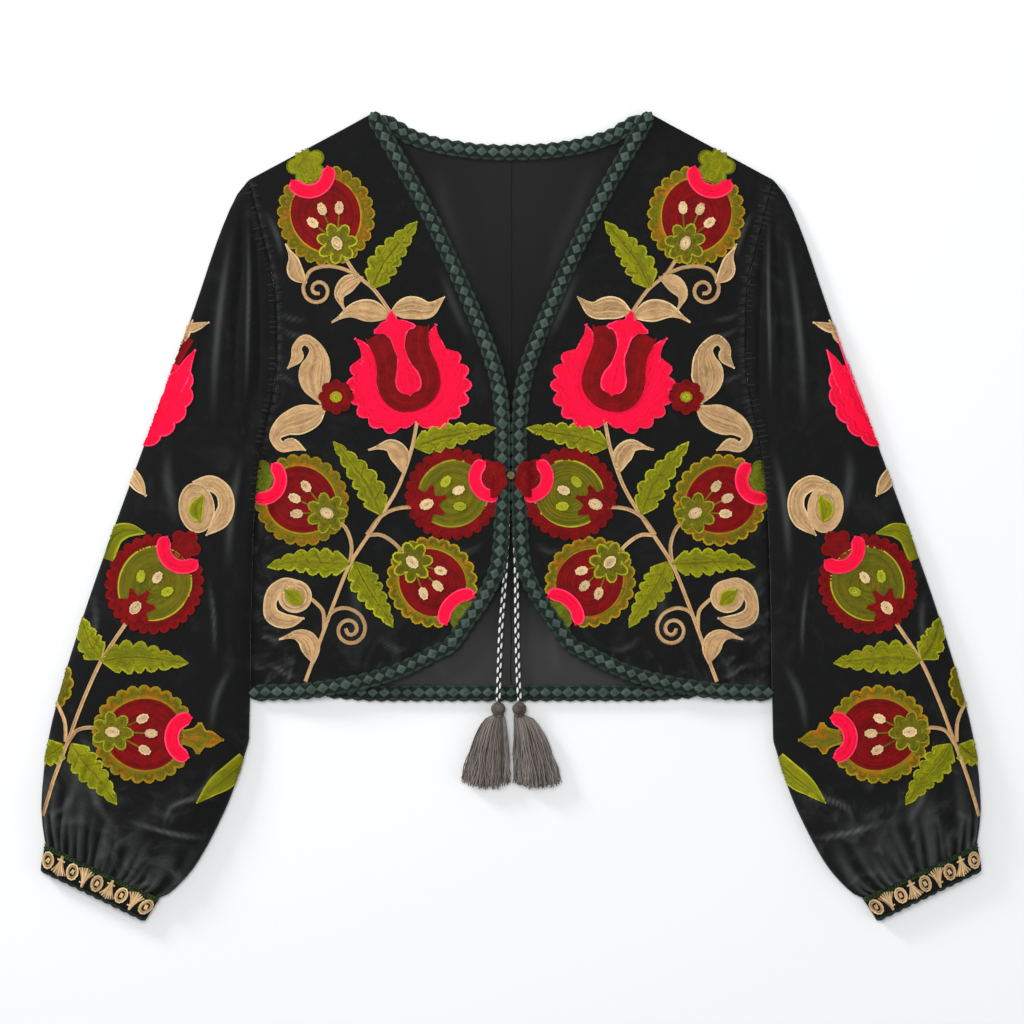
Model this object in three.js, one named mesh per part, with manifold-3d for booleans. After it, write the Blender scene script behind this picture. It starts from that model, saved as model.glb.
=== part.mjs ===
// A velvet bolero jacket laid out flat on its back, built the way it is cut and sewn: back, lining,
// two rounded fronts, two bishop sleeves gathered into cuffs, edge braid, a closing bead and two
// braided ties with tassels. Millimetres, +Z up, +Y towards the neck, +X towards the wearer's left.
import * as THREE from 'three';
import Module from 'manifold-3d';

const wasm = await Module();
wasm.setup();

// ---- driving sizes ----
const seamGap = 0.3;
const velvet = 1.8;
const frontCloth = 2.0;
const liningCloth = 1.0;
const sleeveCloth = 1.6;
const cuffCloth = 2.2;
const braid = { width: 12, thick: 2.0, edge: 1.5, ridge: 0.4, pitch: 9.6, scallop: 0.9, gap: 0.35 };
const cord = { diameter: 4.6, sides: 8 };
const tassel = { headRadius: 6.0, floorGap: 0.4, perRow: 11, length: 61, reach: 18.6 };
const bead = { radius: 3.4, height: 3.6 };

// Half of the jacket in plan: x is the distance from the centre line. The other half mirrors it.
const neckPoint = { x: 116.8, y: 338.2 };
const shoulderTip = { x: 220.6, y: 282.4 };
const hemY = -148.7;
const frontEdge = [
  neckPoint,
  { x: 64.7, y: 245 },
  { x: 17.5, y: 136 },
  { x: 7.4, y: 84 },
  { x: 7.1, y: 45 },
  { x: 7.2, y: 6 },
  { x: 14.3, y: -50 },
  { x: 52.9, y: -104.6 },
];
const frontHem = [
  { x: 219.2, y: hemY },
  { x: 163, y: -145.2 },
  { x: 101.6, y: -131 },
  { x: 52.9, y: -104.6 },
];
const armholeAndSide = [
  shoulderTip,
  { x: 211.4, y: 244.9 },
  { x: 199.9, y: 197 },
  { x: 197.4, y: 155.8 },
  { x: 199.1, y: 113 },
  { x: 209.2, y: 63 },
  { x: 215.6, y: 5 },
  { x: 218.4, y: -80 },
  { x: 219.2, y: hemY },
];
const backNeck = [
  { x: 0, y: 305.4 },
  { x: 27, y: 306.2 },
  { x: 59.3, y: 311 },
  { x: 84, y: 318.5 },
  neckPoint,
];
const sleeveOuter = [
  { x: 221.2, y: 282.6 },
  { x: 232.3, y: 266.7 },
  { x: 247, y: 231.4 },
  { x: 269.2, y: 166 },
  { x: 307, y: 63.4 },
  { x: 355.3, y: -71 },
  { x: 385.6, y: -171.8 },
  { x: 394.8, y: -239 },
  { x: 391.6, y: -274.8 },
];
const underarmY = 84;
const sleeveInnerBelowHem = [
  { x: 220.2, y: -188.6 },
  { x: 236.9, y: -239 },
  { x: 262.5, y: -289.4 },
  { x: 284, y: -314.5 },
  { x: 295.4, y: -320.8 },
];
const cuffCorners = {
  topOuter: { x: 391.7, y: -275.1 },
  topInner: { x: 295.3, y: -321.1 },
  lowOuter: { x: 395.2, y: -294.9 },
  lowInner: { x: 306.0, y: -337.6 },
  edgeOuter: { x: 395.6, y: -298.4 },
  edgeInner: { x: 308.0, y: -341.0 },
};

const armholeGap = 0.8;
// A laid-flat tube is pressed thin at its two folds, and reaches its full height this far in.
const sleeveFold = { height: 4.1, inset: 1.5, reach: 34 };
const cuffFold = { height: 4.6, inset: 1.5, reach: 8 };
const insideSpare = 0.6;
// Height of the sleeve's upper cloth along its length: 0 at the armhole, 1 at the cuff seam.
const sleeveHeights = [
  { along: 0, top: 5.6 },
  { along: 0.12, top: 8.2 },
  { along: 0.45, top: 11.5 },
  { along: 0.8, top: 16 },
  { along: 0.93, top: 16.5 },
  { along: 1, top: 9.8 },
];
const gather = { ridges: 13, height: 2.2, reach: 0.13 };
// Long soft folds that fall from the sleeve head, counted across from the outer edge.
const headFolds = [
  { across: 0.5, width: 0.06, height: 1.8, start: 0.03, end: 0.42 },
  { across: 0.66, width: 0.05, height: 2.4, start: 0.02, end: 0.5 },
  { across: 0.8, width: 0.045, height: 2.0, start: 0.05, end: 0.38 },
];

// ---- helpers ----
const mix = (a, b, t) => a + (b - a) * t;
const smooth = (low, high, v) => THREE.MathUtils.smoothstep(v, low, high);
const raised = (p, height) => new THREE.Vector3(p.x, p.y, height);

const evenly = (count) => Array.from({ length: count + 1 }, (_, i) => i / count);

// Rises from 0 to 1 like the side of a round.
function roundRise(distance, reach) {
  const t = THREE.MathUtils.clamp(distance / reach, 0, 1);
  return Math.sqrt(1 - (1 - t) ** 2);
}

function curvePoints(points, count) {
  const curve = new THREE.SplineCurve(points.map((p) => new THREE.Vector2(p.x, p.y)));
  return curve.getSpacedPoints(count);
}

function valueAt(table, key, at, column) {
  const next = table.findIndex((row) => row[key] >= at);
  if (next <= 0) return table[next === 0 ? 0 : table.length - 1][column];
  const a = table[next - 1];
  const b = table[next];
  return mix(a[column], b[column], smooth(a[key], b[key], at));
}

// Plan points of a four-sided piece from its edges. Each edge is a list of points: top and bottom
// run across, left and right run down.
function fourSided(top, bottom, left, right) {
  const across = top.length - 1;
  const down = left.length - 1;
  return left.map((leftPoint, i) =>
    top.map((topPoint, j) => {
      const u = j / across;
      const v = i / down;
      const blend = (axis) =>
        mix(topPoint[axis], bottom[j][axis], v) +
        mix(leftPoint[axis], right[i][axis], u) -
        mix(mix(top[0][axis], top[across][axis], u), mix(bottom[0][axis], bottom[across][axis], u), v);
      return { x: blend('x'), y: blend('y') };
    }),
  );
}

// A geometry from points and faces, turned so that its faces point outwards.
function closedGeometry(points, faces) {
  let volume = 0;
  for (const [a, b, c] of faces) {
    const cross = new THREE.Vector3().crossVectors(points[b], points[c]);
    volume += points[a].dot(cross);
  }
  const index = faces.flatMap(([a, b, c]) => (volume < 0 ? [a, c, b] : [a, b, c]));
  const geometry = new THREE.BufferGeometry().setFromPoints(points);
  geometry.setIndex(index);
  geometry.computeVertexNormals();
  return geometry;
}

// A sheet with a wall: the same plan points at two heights, with a rim.
function wallGeometry(plan, lowAt, highAt) {
  const rows = plan.length;
  const columns = plan[0].length;
  const points = [];
  for (const heightAt of [highAt, lowAt]) {
    plan.forEach((row, i) =>
      row.forEach((p, j) => {
        const height = heightAt(j / (columns - 1), i / (rows - 1));
        points.push(new THREE.Vector3(p.x, p.y, height));
      }),
    );
  }
  const high = (i, j) => i * columns + j;
  const low = (i, j) => rows * columns + i * columns + j;
  const faces = [];
  const quad = (a, b, c, d) => faces.push([a, b, c], [a, c, d]);
  for (let i = 0; i < rows - 1; i++) {
    for (let j = 0; j < columns - 1; j++) {
      quad(high(i, j), high(i, j + 1), high(i + 1, j + 1), high(i + 1, j));
      quad(low(i, j), low(i + 1, j), low(i + 1, j + 1), low(i, j + 1));
    }
    quad(high(i, 0), high(i + 1, 0), low(i + 1, 0), low(i, 0));
    quad(high(i + 1, columns - 1), high(i, columns - 1), low(i, columns - 1), low(i + 1, columns - 1));
  }
  for (let j = 0; j < columns - 1; j++) {
    quad(high(0, j + 1), high(0, j), low(0, j), low(0, j + 1));
    quad(high(rows - 1, j), high(rows - 1, j + 1), low(rows - 1, j + 1), low(rows - 1, j));
  }
  return closedGeometry(points, faces);
}

// A solid skin over rings of equal length. Without an inner set, its ends are closed by fans.
function ringGeometry(outer, inner) {
  const count = outer[0].length;
  const points = outer.flat();
  const faces = [];
  const quad = (a, b, c, d) => faces.push([a, b, c], [a, c, d]);
  const skin = (start, rings, inward) => {
    for (let i = 0; i < rings - 1; i++) {
      for (let k = 0; k < count; k++) {
        const a = start + i * count + k;
        const b = start + i * count + ((k + 1) % count);
        if (inward) quad(a, a + count, b + count, b);
        else quad(a, b, b + count, a + count);
      }
    }
  };
  skin(0, outer.length, false);
  if (inner) {
    const start = points.length;
    points.push(...inner.flat());
    skin(start, inner.length, true);
    for (const [ring, turned] of [[0, true], [outer.length - 1, false]]) {
      for (let k = 0; k < count; k++) {
        const a = ring * count + k;
        const b = ring * count + ((k + 1) % count);
        if (turned) quad(a, start + a, start + b, b);
        else quad(a, b, start + b, start + a);
      }
    }
  } else {
    const last = (outer.length - 1) * count;
    for (let k = 1; k < count - 1; k++) {
      faces.push([0, k + 1, k], [last, last + k, last + k + 1]);
    }
  }
  return closedGeometry(points, faces);
}

const jacket = new THREE.Group();
const colours = {
  velvet: { color: 0x141716, roughness: 0.85 },
  lining: { color: 0x2a2a2c, roughness: 0.6 },
  braid: { color: 0x2c4038, roughness: 0.75 },
  cuff: { color: 0x171c18, roughness: 0.85 },
  cord: { color: 0x8a8a88, roughness: 0.8 },
  tassel: { color: 0x77706c, roughness: 0.85 },
  bead: { color: 0x8b8a52, roughness: 0.6 },
};

function addMesh(name, geometry, finish) {
  const material = new THREE.MeshStandardMaterial({ ...colours[finish], metalness: 0 });
  const mesh = new THREE.Mesh(geometry, material);
  mesh.name = name;
  jacket.add(mesh);
  return mesh;
}

// A piece of the wearer's left and its mirrored twin.
function addPair(name, geometry, finish) {
  addMesh(`${name}_left`, geometry, finish);
  addMesh(`${name}_right`, geometry, finish).scale.x = -1;
}

// ---- heights of the body's layers ----
const backHigh = velvet;
const liningLow = backHigh + seamGap;
const liningHigh = liningLow + liningCloth;
const frontRest = backHigh + seamGap;
const frontInside = liningHigh + seamGap;

// Each front is sewn down to the back at its side and shoulder, lies on the lining inside that,
// and rises over the ties and over the braid of the back's hem.
const frontRise = 2.9;
function frontLow(u, v) {
  const fromSide = smooth(0.05, 0.2, u);
  const fromShoulder = Math.max(smooth(0, 0.045, v), smooth(0.8, 0.95, u));
  const overTies = smooth(0.38, 0.62, v) * smooth(0.7, 0.94, u);
  const overHem = smooth(0.84, 0.94, v) * smooth(0.1, 0.4, u);
  const rise = Math.max(overTies, overHem);
  const loft = 0.9 * Math.sin(Math.PI * u) * Math.sin(Math.PI * v);
  return mix(frontRest, frontInside + loft + rise * frontRise, fromSide * fromShoulder);
}

// ---- back and lining ----
const bodyRows = 24;
const sideLine = curvePoints(armholeAndSide, bodyRows);
const mirrored = (points) => points.map((p) => ({ x: -p.x, y: p.y }));

// A flat panel that spans both halves, from the outline of its half.
function flatPanel(halfOutline, low, thick) {
  const outline = [...halfOutline, ...mirrored(halfOutline).reverse()];
  const shape = new THREE.Shape(outline.map((p) => new THREE.Vector2(p.x, p.y)));
  const geometry = new THREE.ExtrudeGeometry(shape, { depth: thick, bevelEnabled: false });
  return geometry.translate(0, 0, low);
}

const backHalf = [
  ...curvePoints(backNeck, 7).slice(1, -1),
  neckPoint,
  ...sideLine,
];
addMesh('back', flatPanel(backHalf, 0, velvet), 'velvet');

// The lining shows in the neck opening and between the fronts, and reaches a little under them.
const liningHalf = [
  { x: 27, y: 304.4 },
  { x: 58, y: 309 },
  { x: 82, y: 316 },
  { x: 104, y: 326.4 },
  { x: 132, y: 250 },
  { x: 152, y: 120 },
  { x: 160, y: -20 },
  { x: 162, y: -146.5 },
];
addMesh('back_lining', flatPanel(liningHalf, liningLow, liningCloth), 'lining');

// ---- fronts ----
const frontColumns = 11;
const frontPlan = fourSided(
  curvePoints([shoulderTip, neckPoint], frontColumns),
  curvePoints(frontHem, frontColumns),
  sideLine,
  curvePoints(frontEdge, bodyRows),
);
const frontTop = (u, v) => frontLow(u, v) + frontCloth;
addPair('front', wallGeometry(frontPlan, frontLow, frontTop), 'velvet');

// ---- braid ----
// A flat braid along a line of points: a low ridge of lozenges between scalloped edges.
function braidGeometry(line) {
  const path = new THREE.CurvePath();
  for (let i = 1; i < line.length; i++) path.add(new THREE.LineCurve3(line[i - 1], line[i]));
  const steps = 2 * Math.round(path.getLength() / braid.pitch);
  const centres = path.getSpacedPoints(steps);
  const rings = centres.map((centre, k) => {
    const before = centres[Math.max(0, k - 1)];
    const after = centres[Math.min(steps, k + 1)];
    const side = new THREE.Vector3(before.y - after.y, after.x - before.x, 0).normalize();
    const lozenge = k % 2;
    const half = (braid.width + (lozenge ? braid.scallop : -braid.scallop)) / 2;
    const at = (offset, height) => {
      const p = centre.clone().addScaledVector(side, offset);
      p.z += braid.gap + height;
      return p;
    };
    const crown = braid.thick + (lozenge ? braid.ridge : 0);
    return [
      at(-half, 0),
      at(half, 0),
      at(half, braid.edge),
      at(0, crown),
      at(-half, braid.edge),
    ];
  });
  return ringGeometry(rings);
}

const frontEdgeLine = frontPlan.map((row, i) => raised(row.at(-1), frontTop(1, i / bodyRows)));
const frontHemLine = frontPlan.at(-1).map((p, j) => raised(p, frontTop(j / frontColumns, 1)));
const frontBraidLine = [...frontEdgeLine, ...frontHemLine.slice(0, -1).reverse()];
addPair('front_braid', braidGeometry(frontBraidLine), 'braid');

const backNeckBraidEnd = { x: 99.5, y: 327 };
const backNeckHalf = curvePoints([...backNeck.slice(0, -1), backNeckBraidEnd], 8);
const backNeckLine = [...mirrored(backNeckHalf.slice(1)).reverse(), ...backNeckHalf];
const onLiningLine = (points) => points.map((p) => raised(p, liningHigh));
addMesh('back_neck_braid', braidGeometry(onLiningLine(backNeckLine)), 'braid');

const hemBraidEnd = 150;
const backHemLine = [-hemBraidEnd, hemBraidEnd].map((x) => ({ x, y: hemY }));
addMesh('back_hem_braid', braidGeometry(onLiningLine(backHemLine)), 'braid');

// ---- sleeves and cuffs ----
// Height of a flat tube's upper cloth, domed between its two folds. t runs from fold to fold.
function domeTop(t, width, height, fold) {
  const fromFold = roundRise(Math.min(t, 1 - t) * width, fold.reach);
  return mix(Math.min(fold.height, height), height, fromFold);
}

// A tube of cloth that lies flat: a ring for each row of the plan, up over the top and back below.
function flatTube({ plan, places, heightAt, reliefAt, fold, wall, floor = 0, lowSteps }) {
  const steps = plan[0].length - 1;
  const rings = plan.map((row, i) => {
    const width = Math.hypot(row[0].x - row[steps].x, row[0].y - row[steps].y);
    const inset = fold.inset / width;
    const pointAt = (t) => {
      const at = t * steps;
      const j = Math.min(steps - 1, Math.floor(at));
      return { x: mix(row[j].x, row[j + 1].x, at - j), y: mix(row[j].y, row[j + 1].y, at - j) };
    };
    const above = evenly(steps);
    above[1] = inset;
    above[steps - 1] = 1 - inset;
    const below = evenly(lowSteps).slice(1, -1).reverse();
    below[0] = 1 - 1.3 * inset;
    below[lowSteps - 2] = 1.3 * inset;

    const outer = [
      ...above.map((t, j) => {
        const top = domeTop(t, width, heightAt(places[i]), fold);
        const atFold = j === 0 || j === steps;
        return raised(pointAt(t), atFold ? (floor + top) / 2 : top + reliefAt(t, places[i], j));
      }),
      ...below.map((t) => raised(pointAt(t), floor)),
    ];

    const margin = (wall + insideSpare) / width;
    const within = (t) => mix(margin, 1 - margin, t);
    const inner = [
      ...above.map((t, j) => {
        const top = domeTop(within(t), width, heightAt(places[i]), fold) - wall;
        const atFold = j === 0 || j === steps;
        const height = atFold ? floor + wall + 0.25 : Math.max(top, floor + wall + 0.5);
        return raised(pointAt(within(t)), height);
      }),
      ...below.map((t) => raised(pointAt(within(t)), floor + wall)),
    ];
    return { outer, inner };
  });
  return ringGeometry(rings.map((r) => r.outer), rings.map((r) => r.inner));
}

const sleeveSteps = 2 * gather.ridges + 4;
const sleeveRows = 17;
// Rows are closer together near the armhole's bend and near the cuff's gathers.
const rowPlaces = evenly(sleeveRows).map((t) => t - Math.sin(2 * Math.PI * t) / (4 * Math.PI));

// Points at given shares of the way along a line of straight stretches.
function alongLine(points, places) {
  const path = new THREE.CurvePath();
  for (let i = 1; i < points.length; i++) {
    const from = new THREE.Vector2(points[i - 1].x, points[i - 1].y);
    path.add(new THREE.LineCurve(from, new THREE.Vector2(points[i].x, points[i].y)));
  }
  return places.map((t) => path.getPointAt(t));
}

// The sleeve's head follows the armhole, and its inner fold follows the side seam to the hem.
const besideBody = sideLine.map((p) => ({ x: p.x + armholeGap, y: p.y }));
const underarm = besideBody.findIndex((p) => p.y < underarmY);
const headLine = alongLine(besideBody.slice(0, underarm + 1), evenly(sleeveSteps));
const outerLine = alongLine([besideBody[0], ...curvePoints(sleeveOuter, 20).slice(1)], rowPlaces);
const innerEdge = [...besideBody.slice(underarm), ...curvePoints(sleeveInnerBelowHem, 10)];
const innerLine = alongLine(innerEdge, rowPlaces);

// Rows run straight across from fold to fold, but near the top they follow the armhole's bend.
const sleevePlan = rowPlaces.map((along, i) => {
  const bend = (1 - along) ** 4;
  return headLine.map((head, j) => {
    const across = j / sleeveSteps;
    const place = (axis) => {
      const chord = mix(headLine[0][axis], headLine.at(-1)[axis], across);
      return mix(outerLine[i][axis], innerLine[i][axis], across) + bend * (head[axis] - chord);
    };
    return { x: place('x'), y: place('y') };
  });
});

// Gathers above the cuff stand on every second column, and die out towards the sleeve's folds.
function sleeveRelief(t, along, column) {
  const nearFolds = roundRise(t, 0.08) * roundRise(1 - t, 0.08);
  const gathered = gather.height * (column % 2) * smooth(1 - gather.reach, 1, along) * nearFolds;
  const falls = headFolds.map((fold) => {
    const acrossFold = Math.exp(-(((t - fold.across) / fold.width) ** 2));
    const fadeIn = smooth(fold.start, fold.start + 0.05, along);
    const fadeOut = 1 - smooth(fold.end - 0.25, fold.end, along);
    return fold.height * acrossFold * fadeIn * fadeOut;
  });
  return falls.reduce((sum, height) => sum + height, gathered);
}

const sleeve = flatTube({
  plan: sleevePlan,
  places: rowPlaces,
  heightAt: (along) => valueAt(sleeveHeights, 'along', along, 'top'),
  reliefAt: sleeveRelief,
  fold: sleeveFold,
  wall: sleeveCloth,
  lowSteps: 10,
});
addPair('sleeve', sleeve, 'velvet');

const cuffSteps = 14;
const cuffTop = 9.4;
const straight = (from, to) => curvePoints([from, to], cuffSteps);
const cuffTopRow = straight(cuffCorners.topOuter, cuffCorners.topInner);
const cuffLowRow = straight(cuffCorners.lowOuter, cuffCorners.lowInner);
const cuffMiddleRow = cuffTopRow.map((p, j) => p.clone().lerp(cuffLowRow[j], 0.5));
const cuffPlan = [cuffTopRow, cuffMiddleRow, cuffLowRow];
const cuff = flatTube({
  plan: cuffPlan,
  places: [0, 0.5, 1],
  heightAt: () => cuffTop,
  reliefAt: () => 0,
  fold: cuffFold,
  wall: cuffCloth,
  lowSteps: 6,
});
addPair('cuff', cuff, 'cuff');

// The scalloped edging below the cuff: every second point of its lower edge stands out.
const scallops = 12;
const edging = { top: 8.8, floor: 0.5, cloth: 1.4, gap: { x: -0.133, y: -0.268 } };
const edgingScallop = { x: -0.36, y: -0.72 };
const edgingUpper = curvePoints([cuffCorners.lowOuter, cuffCorners.lowInner], 2 * scallops);
const edgingLower = curvePoints([cuffCorners.edgeOuter, cuffCorners.edgeInner], 2 * scallops);
const edgingPlan = [
  edgingUpper.map((p) => ({ x: p.x + edging.gap.x, y: p.y + edging.gap.y })),
  edgingLower.map((p, j) => ({
    x: p.x + (j % 2) * edgingScallop.x,
    y: p.y + (j % 2) * edgingScallop.y,
  })),
];
const cuffEdging = flatTube({
  plan: edgingPlan,
  places: [0, 1],
  heightAt: () => edging.top,
  reliefAt: () => 0,
  fold: cuffFold,
  wall: edging.cloth,
  floor: edging.floor,
  lowSteps: 6,
});
addPair('cuff_edging', cuffEdging, 'braid');

// ---- ties and tassels ----
const cordZ = liningHigh + seamGap + cord.diameter / 2;
const overBraid = cordZ + braid.gap + braid.thick + braid.ridge;
const tieRoutes = {
  right: [
    { x: -3.0, y: 9, z: cordZ },
    { x: -3.1, y: -12, z: cordZ },
    { x: -5.2, y: -50, z: cordZ },
    { x: -8.6, y: -95, z: cordZ },
    { x: -9.8, y: -124, z: cordZ },
    { x: -10.3, y: -139.5, z: overBraid },
    { x: -10.6, y: -148, z: overBraid },
    { x: -10.8, y: -155.6, z: overBraid - 0.4 },
  ],
  left: [
    { x: 3.0, y: 9, z: cordZ },
    { x: 3.1, y: -12, z: cordZ },
    { x: 4.4, y: -50, z: cordZ },
    { x: 4.9, y: -95, z: cordZ },
    { x: 5.6, y: -124, z: cordZ },
    { x: 6.2, y: -139.5, z: overBraid },
    { x: 6.7, y: -148, z: overBraid },
    { x: 7.0, y: -155.6, z: overBraid - 0.4 },
  ],
};
const tasselPlaces = {
  right: { x: -10.8, y: -162.2, lean: -9.8 },
  left: { x: 7.0, y: -162.2, lean: 14.8 },
};

function cordGeometry(route) {
  const curve = new THREE.CatmullRomCurve3(route.map((p) => raised(p, p.z)));
  const steps = 26;
  const rings = curve.getSpacedPoints(steps).map((centre, k) => {
    const tangent = curve.getTangentAt(k / steps);
    const side = new THREE.Vector3(tangent.y, -tangent.x, 0).normalize();
    const up = new THREE.Vector3().crossVectors(side, tangent);
    return Array.from({ length: cord.sides }, (_, n) => {
      const turn = ((n + 0.5) / cord.sides) * 2 * Math.PI;
      return centre
        .clone()
        .addScaledVector(side, (Math.cos(turn) * cord.diameter) / 2)
        .addScaledVector(up, (Math.sin(turn) * cord.diameter) / 2);
    });
  });
  return ringGeometry(rings);
}

function solidOf(geometry) {
  const mesh = new wasm.Mesh({
    numProp: 3,
    vertProperties: new Float32Array(geometry.attributes.position.array),
    triVerts: new Uint32Array(geometry.index.array),
  });
  return new wasm.Manifold(mesh);
}

function geometryOf(solid) {
  const mesh = solid.getMesh();
  const points = [];
  for (let i = 0; i < mesh.numVert; i++) {
    points.push(new THREE.Vector3().fromArray(mesh.vertProperties, i * mesh.numProp));
  }
  const faces = [];
  for (let i = 0; i < mesh.triVerts.length; i += 3) faces.push([...mesh.triVerts.slice(i, i + 3)]);
  return closedGeometry(points, faces);
}

const lockShape = [
  { at: 0, thick: 0.24 },
  { at: 0.3, thick: 0.7 },
  { at: 0.65, thick: 1.05 },
  { at: 1, thick: 1.05 },
];

// A four-sided lock of strands that bows outwards on its way from root to tip.
function lockGeometry(root, tip) {
  const rings = lockShape.map(({ at, thick }) => {
    const x = mix(root.x, tip.x, 1 - (1 - at) ** 1.7);
    const y = mix(root.y, tip.y, at);
    const z = mix(root.z, tip.z, at);
    return [45, 135, 225, 315].map((degrees) => {
      const turn = THREE.MathUtils.degToRad(degrees);
      return new THREE.Vector3(x + Math.cos(turn) * thick, y, z + Math.sin(turn) * thick);
    });
  });
  return ringGeometry(rings);
}

// A ball head with a bound neck, and a skirt of separate locks that fan out from it.
function tasselGeometry({ x, y, lean }) {
  const headZ = tassel.headRadius + tassel.floorGap;
  const sides = 12;
  const profile = [
    { at: 6.0, radius: 1.2 },
    { at: 4.6, radius: 4.0 },
    { at: 1.2, radius: 6.0 },
    { at: -2.6, radius: 5.4 },
    { at: -5.2, radius: 3.5 },
    { at: -7.2, radius: 3.4 },
    { at: -9.6, radius: 4.3 },
    { at: -10.4, radius: 3.6 },
  ];
  const rings = profile.map((row) =>
    Array.from({ length: sides }, (_, n) => {
      const turn = (n / sides) * 2 * Math.PI;
      const z = headZ + Math.sin(turn) * row.radius;
      return new THREE.Vector3(x + Math.cos(turn) * row.radius, y + row.at, z);
    }),
  );
  let solid = solidOf(ringGeometry(rings));
  const layers = [
    { rootZ: headZ - 2.4, tipZ: 2.2 },
    { rootZ: headZ, tipZ: 5.6 },
    { rootZ: headZ + 2.4, tipZ: 9.0 },
  ];
  layers.forEach((layer, row) => {
    for (let n = 0; n < tassel.perRow; n++) {
      const spread = (n / (tassel.perRow - 1)) * 2 - 1;
      const rootReach = row === 1 ? 3.7 : 2.9;
      const uneven = Math.sin(7.3 * n + 2.1 * row);
      const root = { x: x + spread * rootReach, y: y - 9.2, z: layer.rootZ };
      const tip = {
        x: x + lean + spread * tassel.reach + 0.6 * (row - 1) + 0.3 * uneven,
        y: y - tassel.length - 5.5 * (1 - spread * spread) + 1.6 * uneven,
        z: layer.tipZ,
      };
      solid = solid.add(solidOf(lockGeometry(root, tip)));
    }
  });
  return geometryOf(solid);
}

for (const [side, route] of Object.entries(tieRoutes)) {
  addMesh(`tie_cord_${side}`, cordGeometry(route), 'cord');
  addMesh(`tassel_${side}`, tasselGeometry(tasselPlaces[side]), 'tassel');
}

// ---- closing bead, sewn over the two braids where the fronts meet ----
const closureY = 34;
const nearClosure = (p) => Math.abs(p.y - closureY);
const closureRow = frontEdgeLine.reduce((a, b) => (nearClosure(b) < nearClosure(a) ? b : a));
const beadZ = closureRow.z + braid.gap + braid.thick + seamGap;
const beadProfile = [
  { at: 0, radius: 0.8 },
  { at: 0.5, radius: 1 },
  { at: 0.85, radius: 0.75 },
  { at: 1, radius: 0.3 },
];
const beadRings = beadProfile.map((row) =>
  Array.from({ length: 12 }, (_, n) => {
    const turn = (n / 12) * 2 * Math.PI;
    const radius = row.radius * bead.radius;
    const place = { x: Math.cos(turn) * radius, y: closureY + Math.sin(turn) * radius };
    return raised(place, beadZ + row.at * bead.height);
  }),
);
addMesh('closing_bead', ringGeometry(beadRings), 'bead');

export default jacket;
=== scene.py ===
import math
import random

import bmesh
import bpy
import numpy as np
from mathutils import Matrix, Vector, noise
from mathutils.bvhtree import BVHTree


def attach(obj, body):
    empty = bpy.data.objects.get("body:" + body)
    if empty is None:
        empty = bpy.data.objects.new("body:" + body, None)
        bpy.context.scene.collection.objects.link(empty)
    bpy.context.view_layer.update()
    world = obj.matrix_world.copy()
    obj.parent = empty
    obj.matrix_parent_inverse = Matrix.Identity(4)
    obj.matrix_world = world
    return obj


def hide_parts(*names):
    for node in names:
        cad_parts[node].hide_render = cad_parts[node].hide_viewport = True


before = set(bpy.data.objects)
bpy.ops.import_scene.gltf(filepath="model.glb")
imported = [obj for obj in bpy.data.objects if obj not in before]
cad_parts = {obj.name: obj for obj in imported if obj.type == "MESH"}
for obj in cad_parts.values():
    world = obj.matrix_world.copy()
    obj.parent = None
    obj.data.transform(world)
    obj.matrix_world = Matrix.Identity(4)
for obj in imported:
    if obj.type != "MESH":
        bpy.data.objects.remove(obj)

# without a seed the crushed wrinkles differ from run to run
noise.seed_set(5)

# A velvet bolero laid flat. Cloth is worked out in millimetres and made into meshes in metres.
# x is the distance from the centre line, so both halves come from one set of sizes.
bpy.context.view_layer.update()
mm = 0.001
halves = {"left": 1, "right": -1}

# camera: straight down on the laid-out jacket
view = {"x": 0.0008, "y": 0.0034, "z": 0.006, "width": 0.860, "lens": 120.0, "clip": 20.0}


def link(obj):
    bpy.context.collection.objects.link(obj)
    return obj


def addCamera():
    camera = link(bpy.data.objects.new("viewCamera", bpy.data.cameras.new("viewCamera")))
    camera.data.lens = view["lens"]
    camera.data.clip_end = view["clip"]
    distance = view["width"] * view["lens"] / camera.data.sensor_width
    camera.location = (view["x"], view["y"], view["z"] + distance)
    bpy.context.scene.camera = camera


addCamera()


# small mesh helpers
def linkMesh(name, vertices, faces, smooth=True):
    mesh = bpy.data.meshes.new(name)
    mesh.from_pydata((np.asarray(vertices, float) * mm).tolist(), [], faces)
    mesh.update()
    mesh.shade_smooth() if smooth else mesh.shade_flat()
    return link(bpy.data.objects.new(name, mesh))


def gridFaces(rows, columns, start=0, wrap=False):
    index = start + np.arange(rows * columns).reshape(rows, columns)
    if wrap:
        index = np.hstack([index, index[:, :1]])
    quads = np.stack([index[:-1, :-1], index[:-1, 1:], index[1:, 1:], index[1:, :-1]], axis=-1)
    return quads.reshape(-1, 4)


def outward(vertices, faces):
    # turns all faces round if the closed skin is inside out
    v = np.asarray(vertices, float)
    f = np.asarray(faces)
    volume = 0.0
    for a, b, c in ((0, 1, 2), (0, 2, 3)):
        volume += np.einsum("ij,ij->i", v[f[:, a]], np.cross(v[f[:, b]], v[f[:, c]])).sum()
    return (f[:, ::-1] if volume < 0 else f).tolist()


def evenly(line, count=None, places=None):
    line = np.asarray(line, float)
    step = np.linalg.norm(np.diff(line, axis=0), axis=1)
    along = np.concatenate([[0.0], np.cumsum(step)])
    want = (np.linspace(0, 1, count + 1) if places is None else np.asarray(places)) * along[-1]
    return np.column_stack([np.interp(want, along, line[:, k]) for k in range(line.shape[1])])


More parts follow.
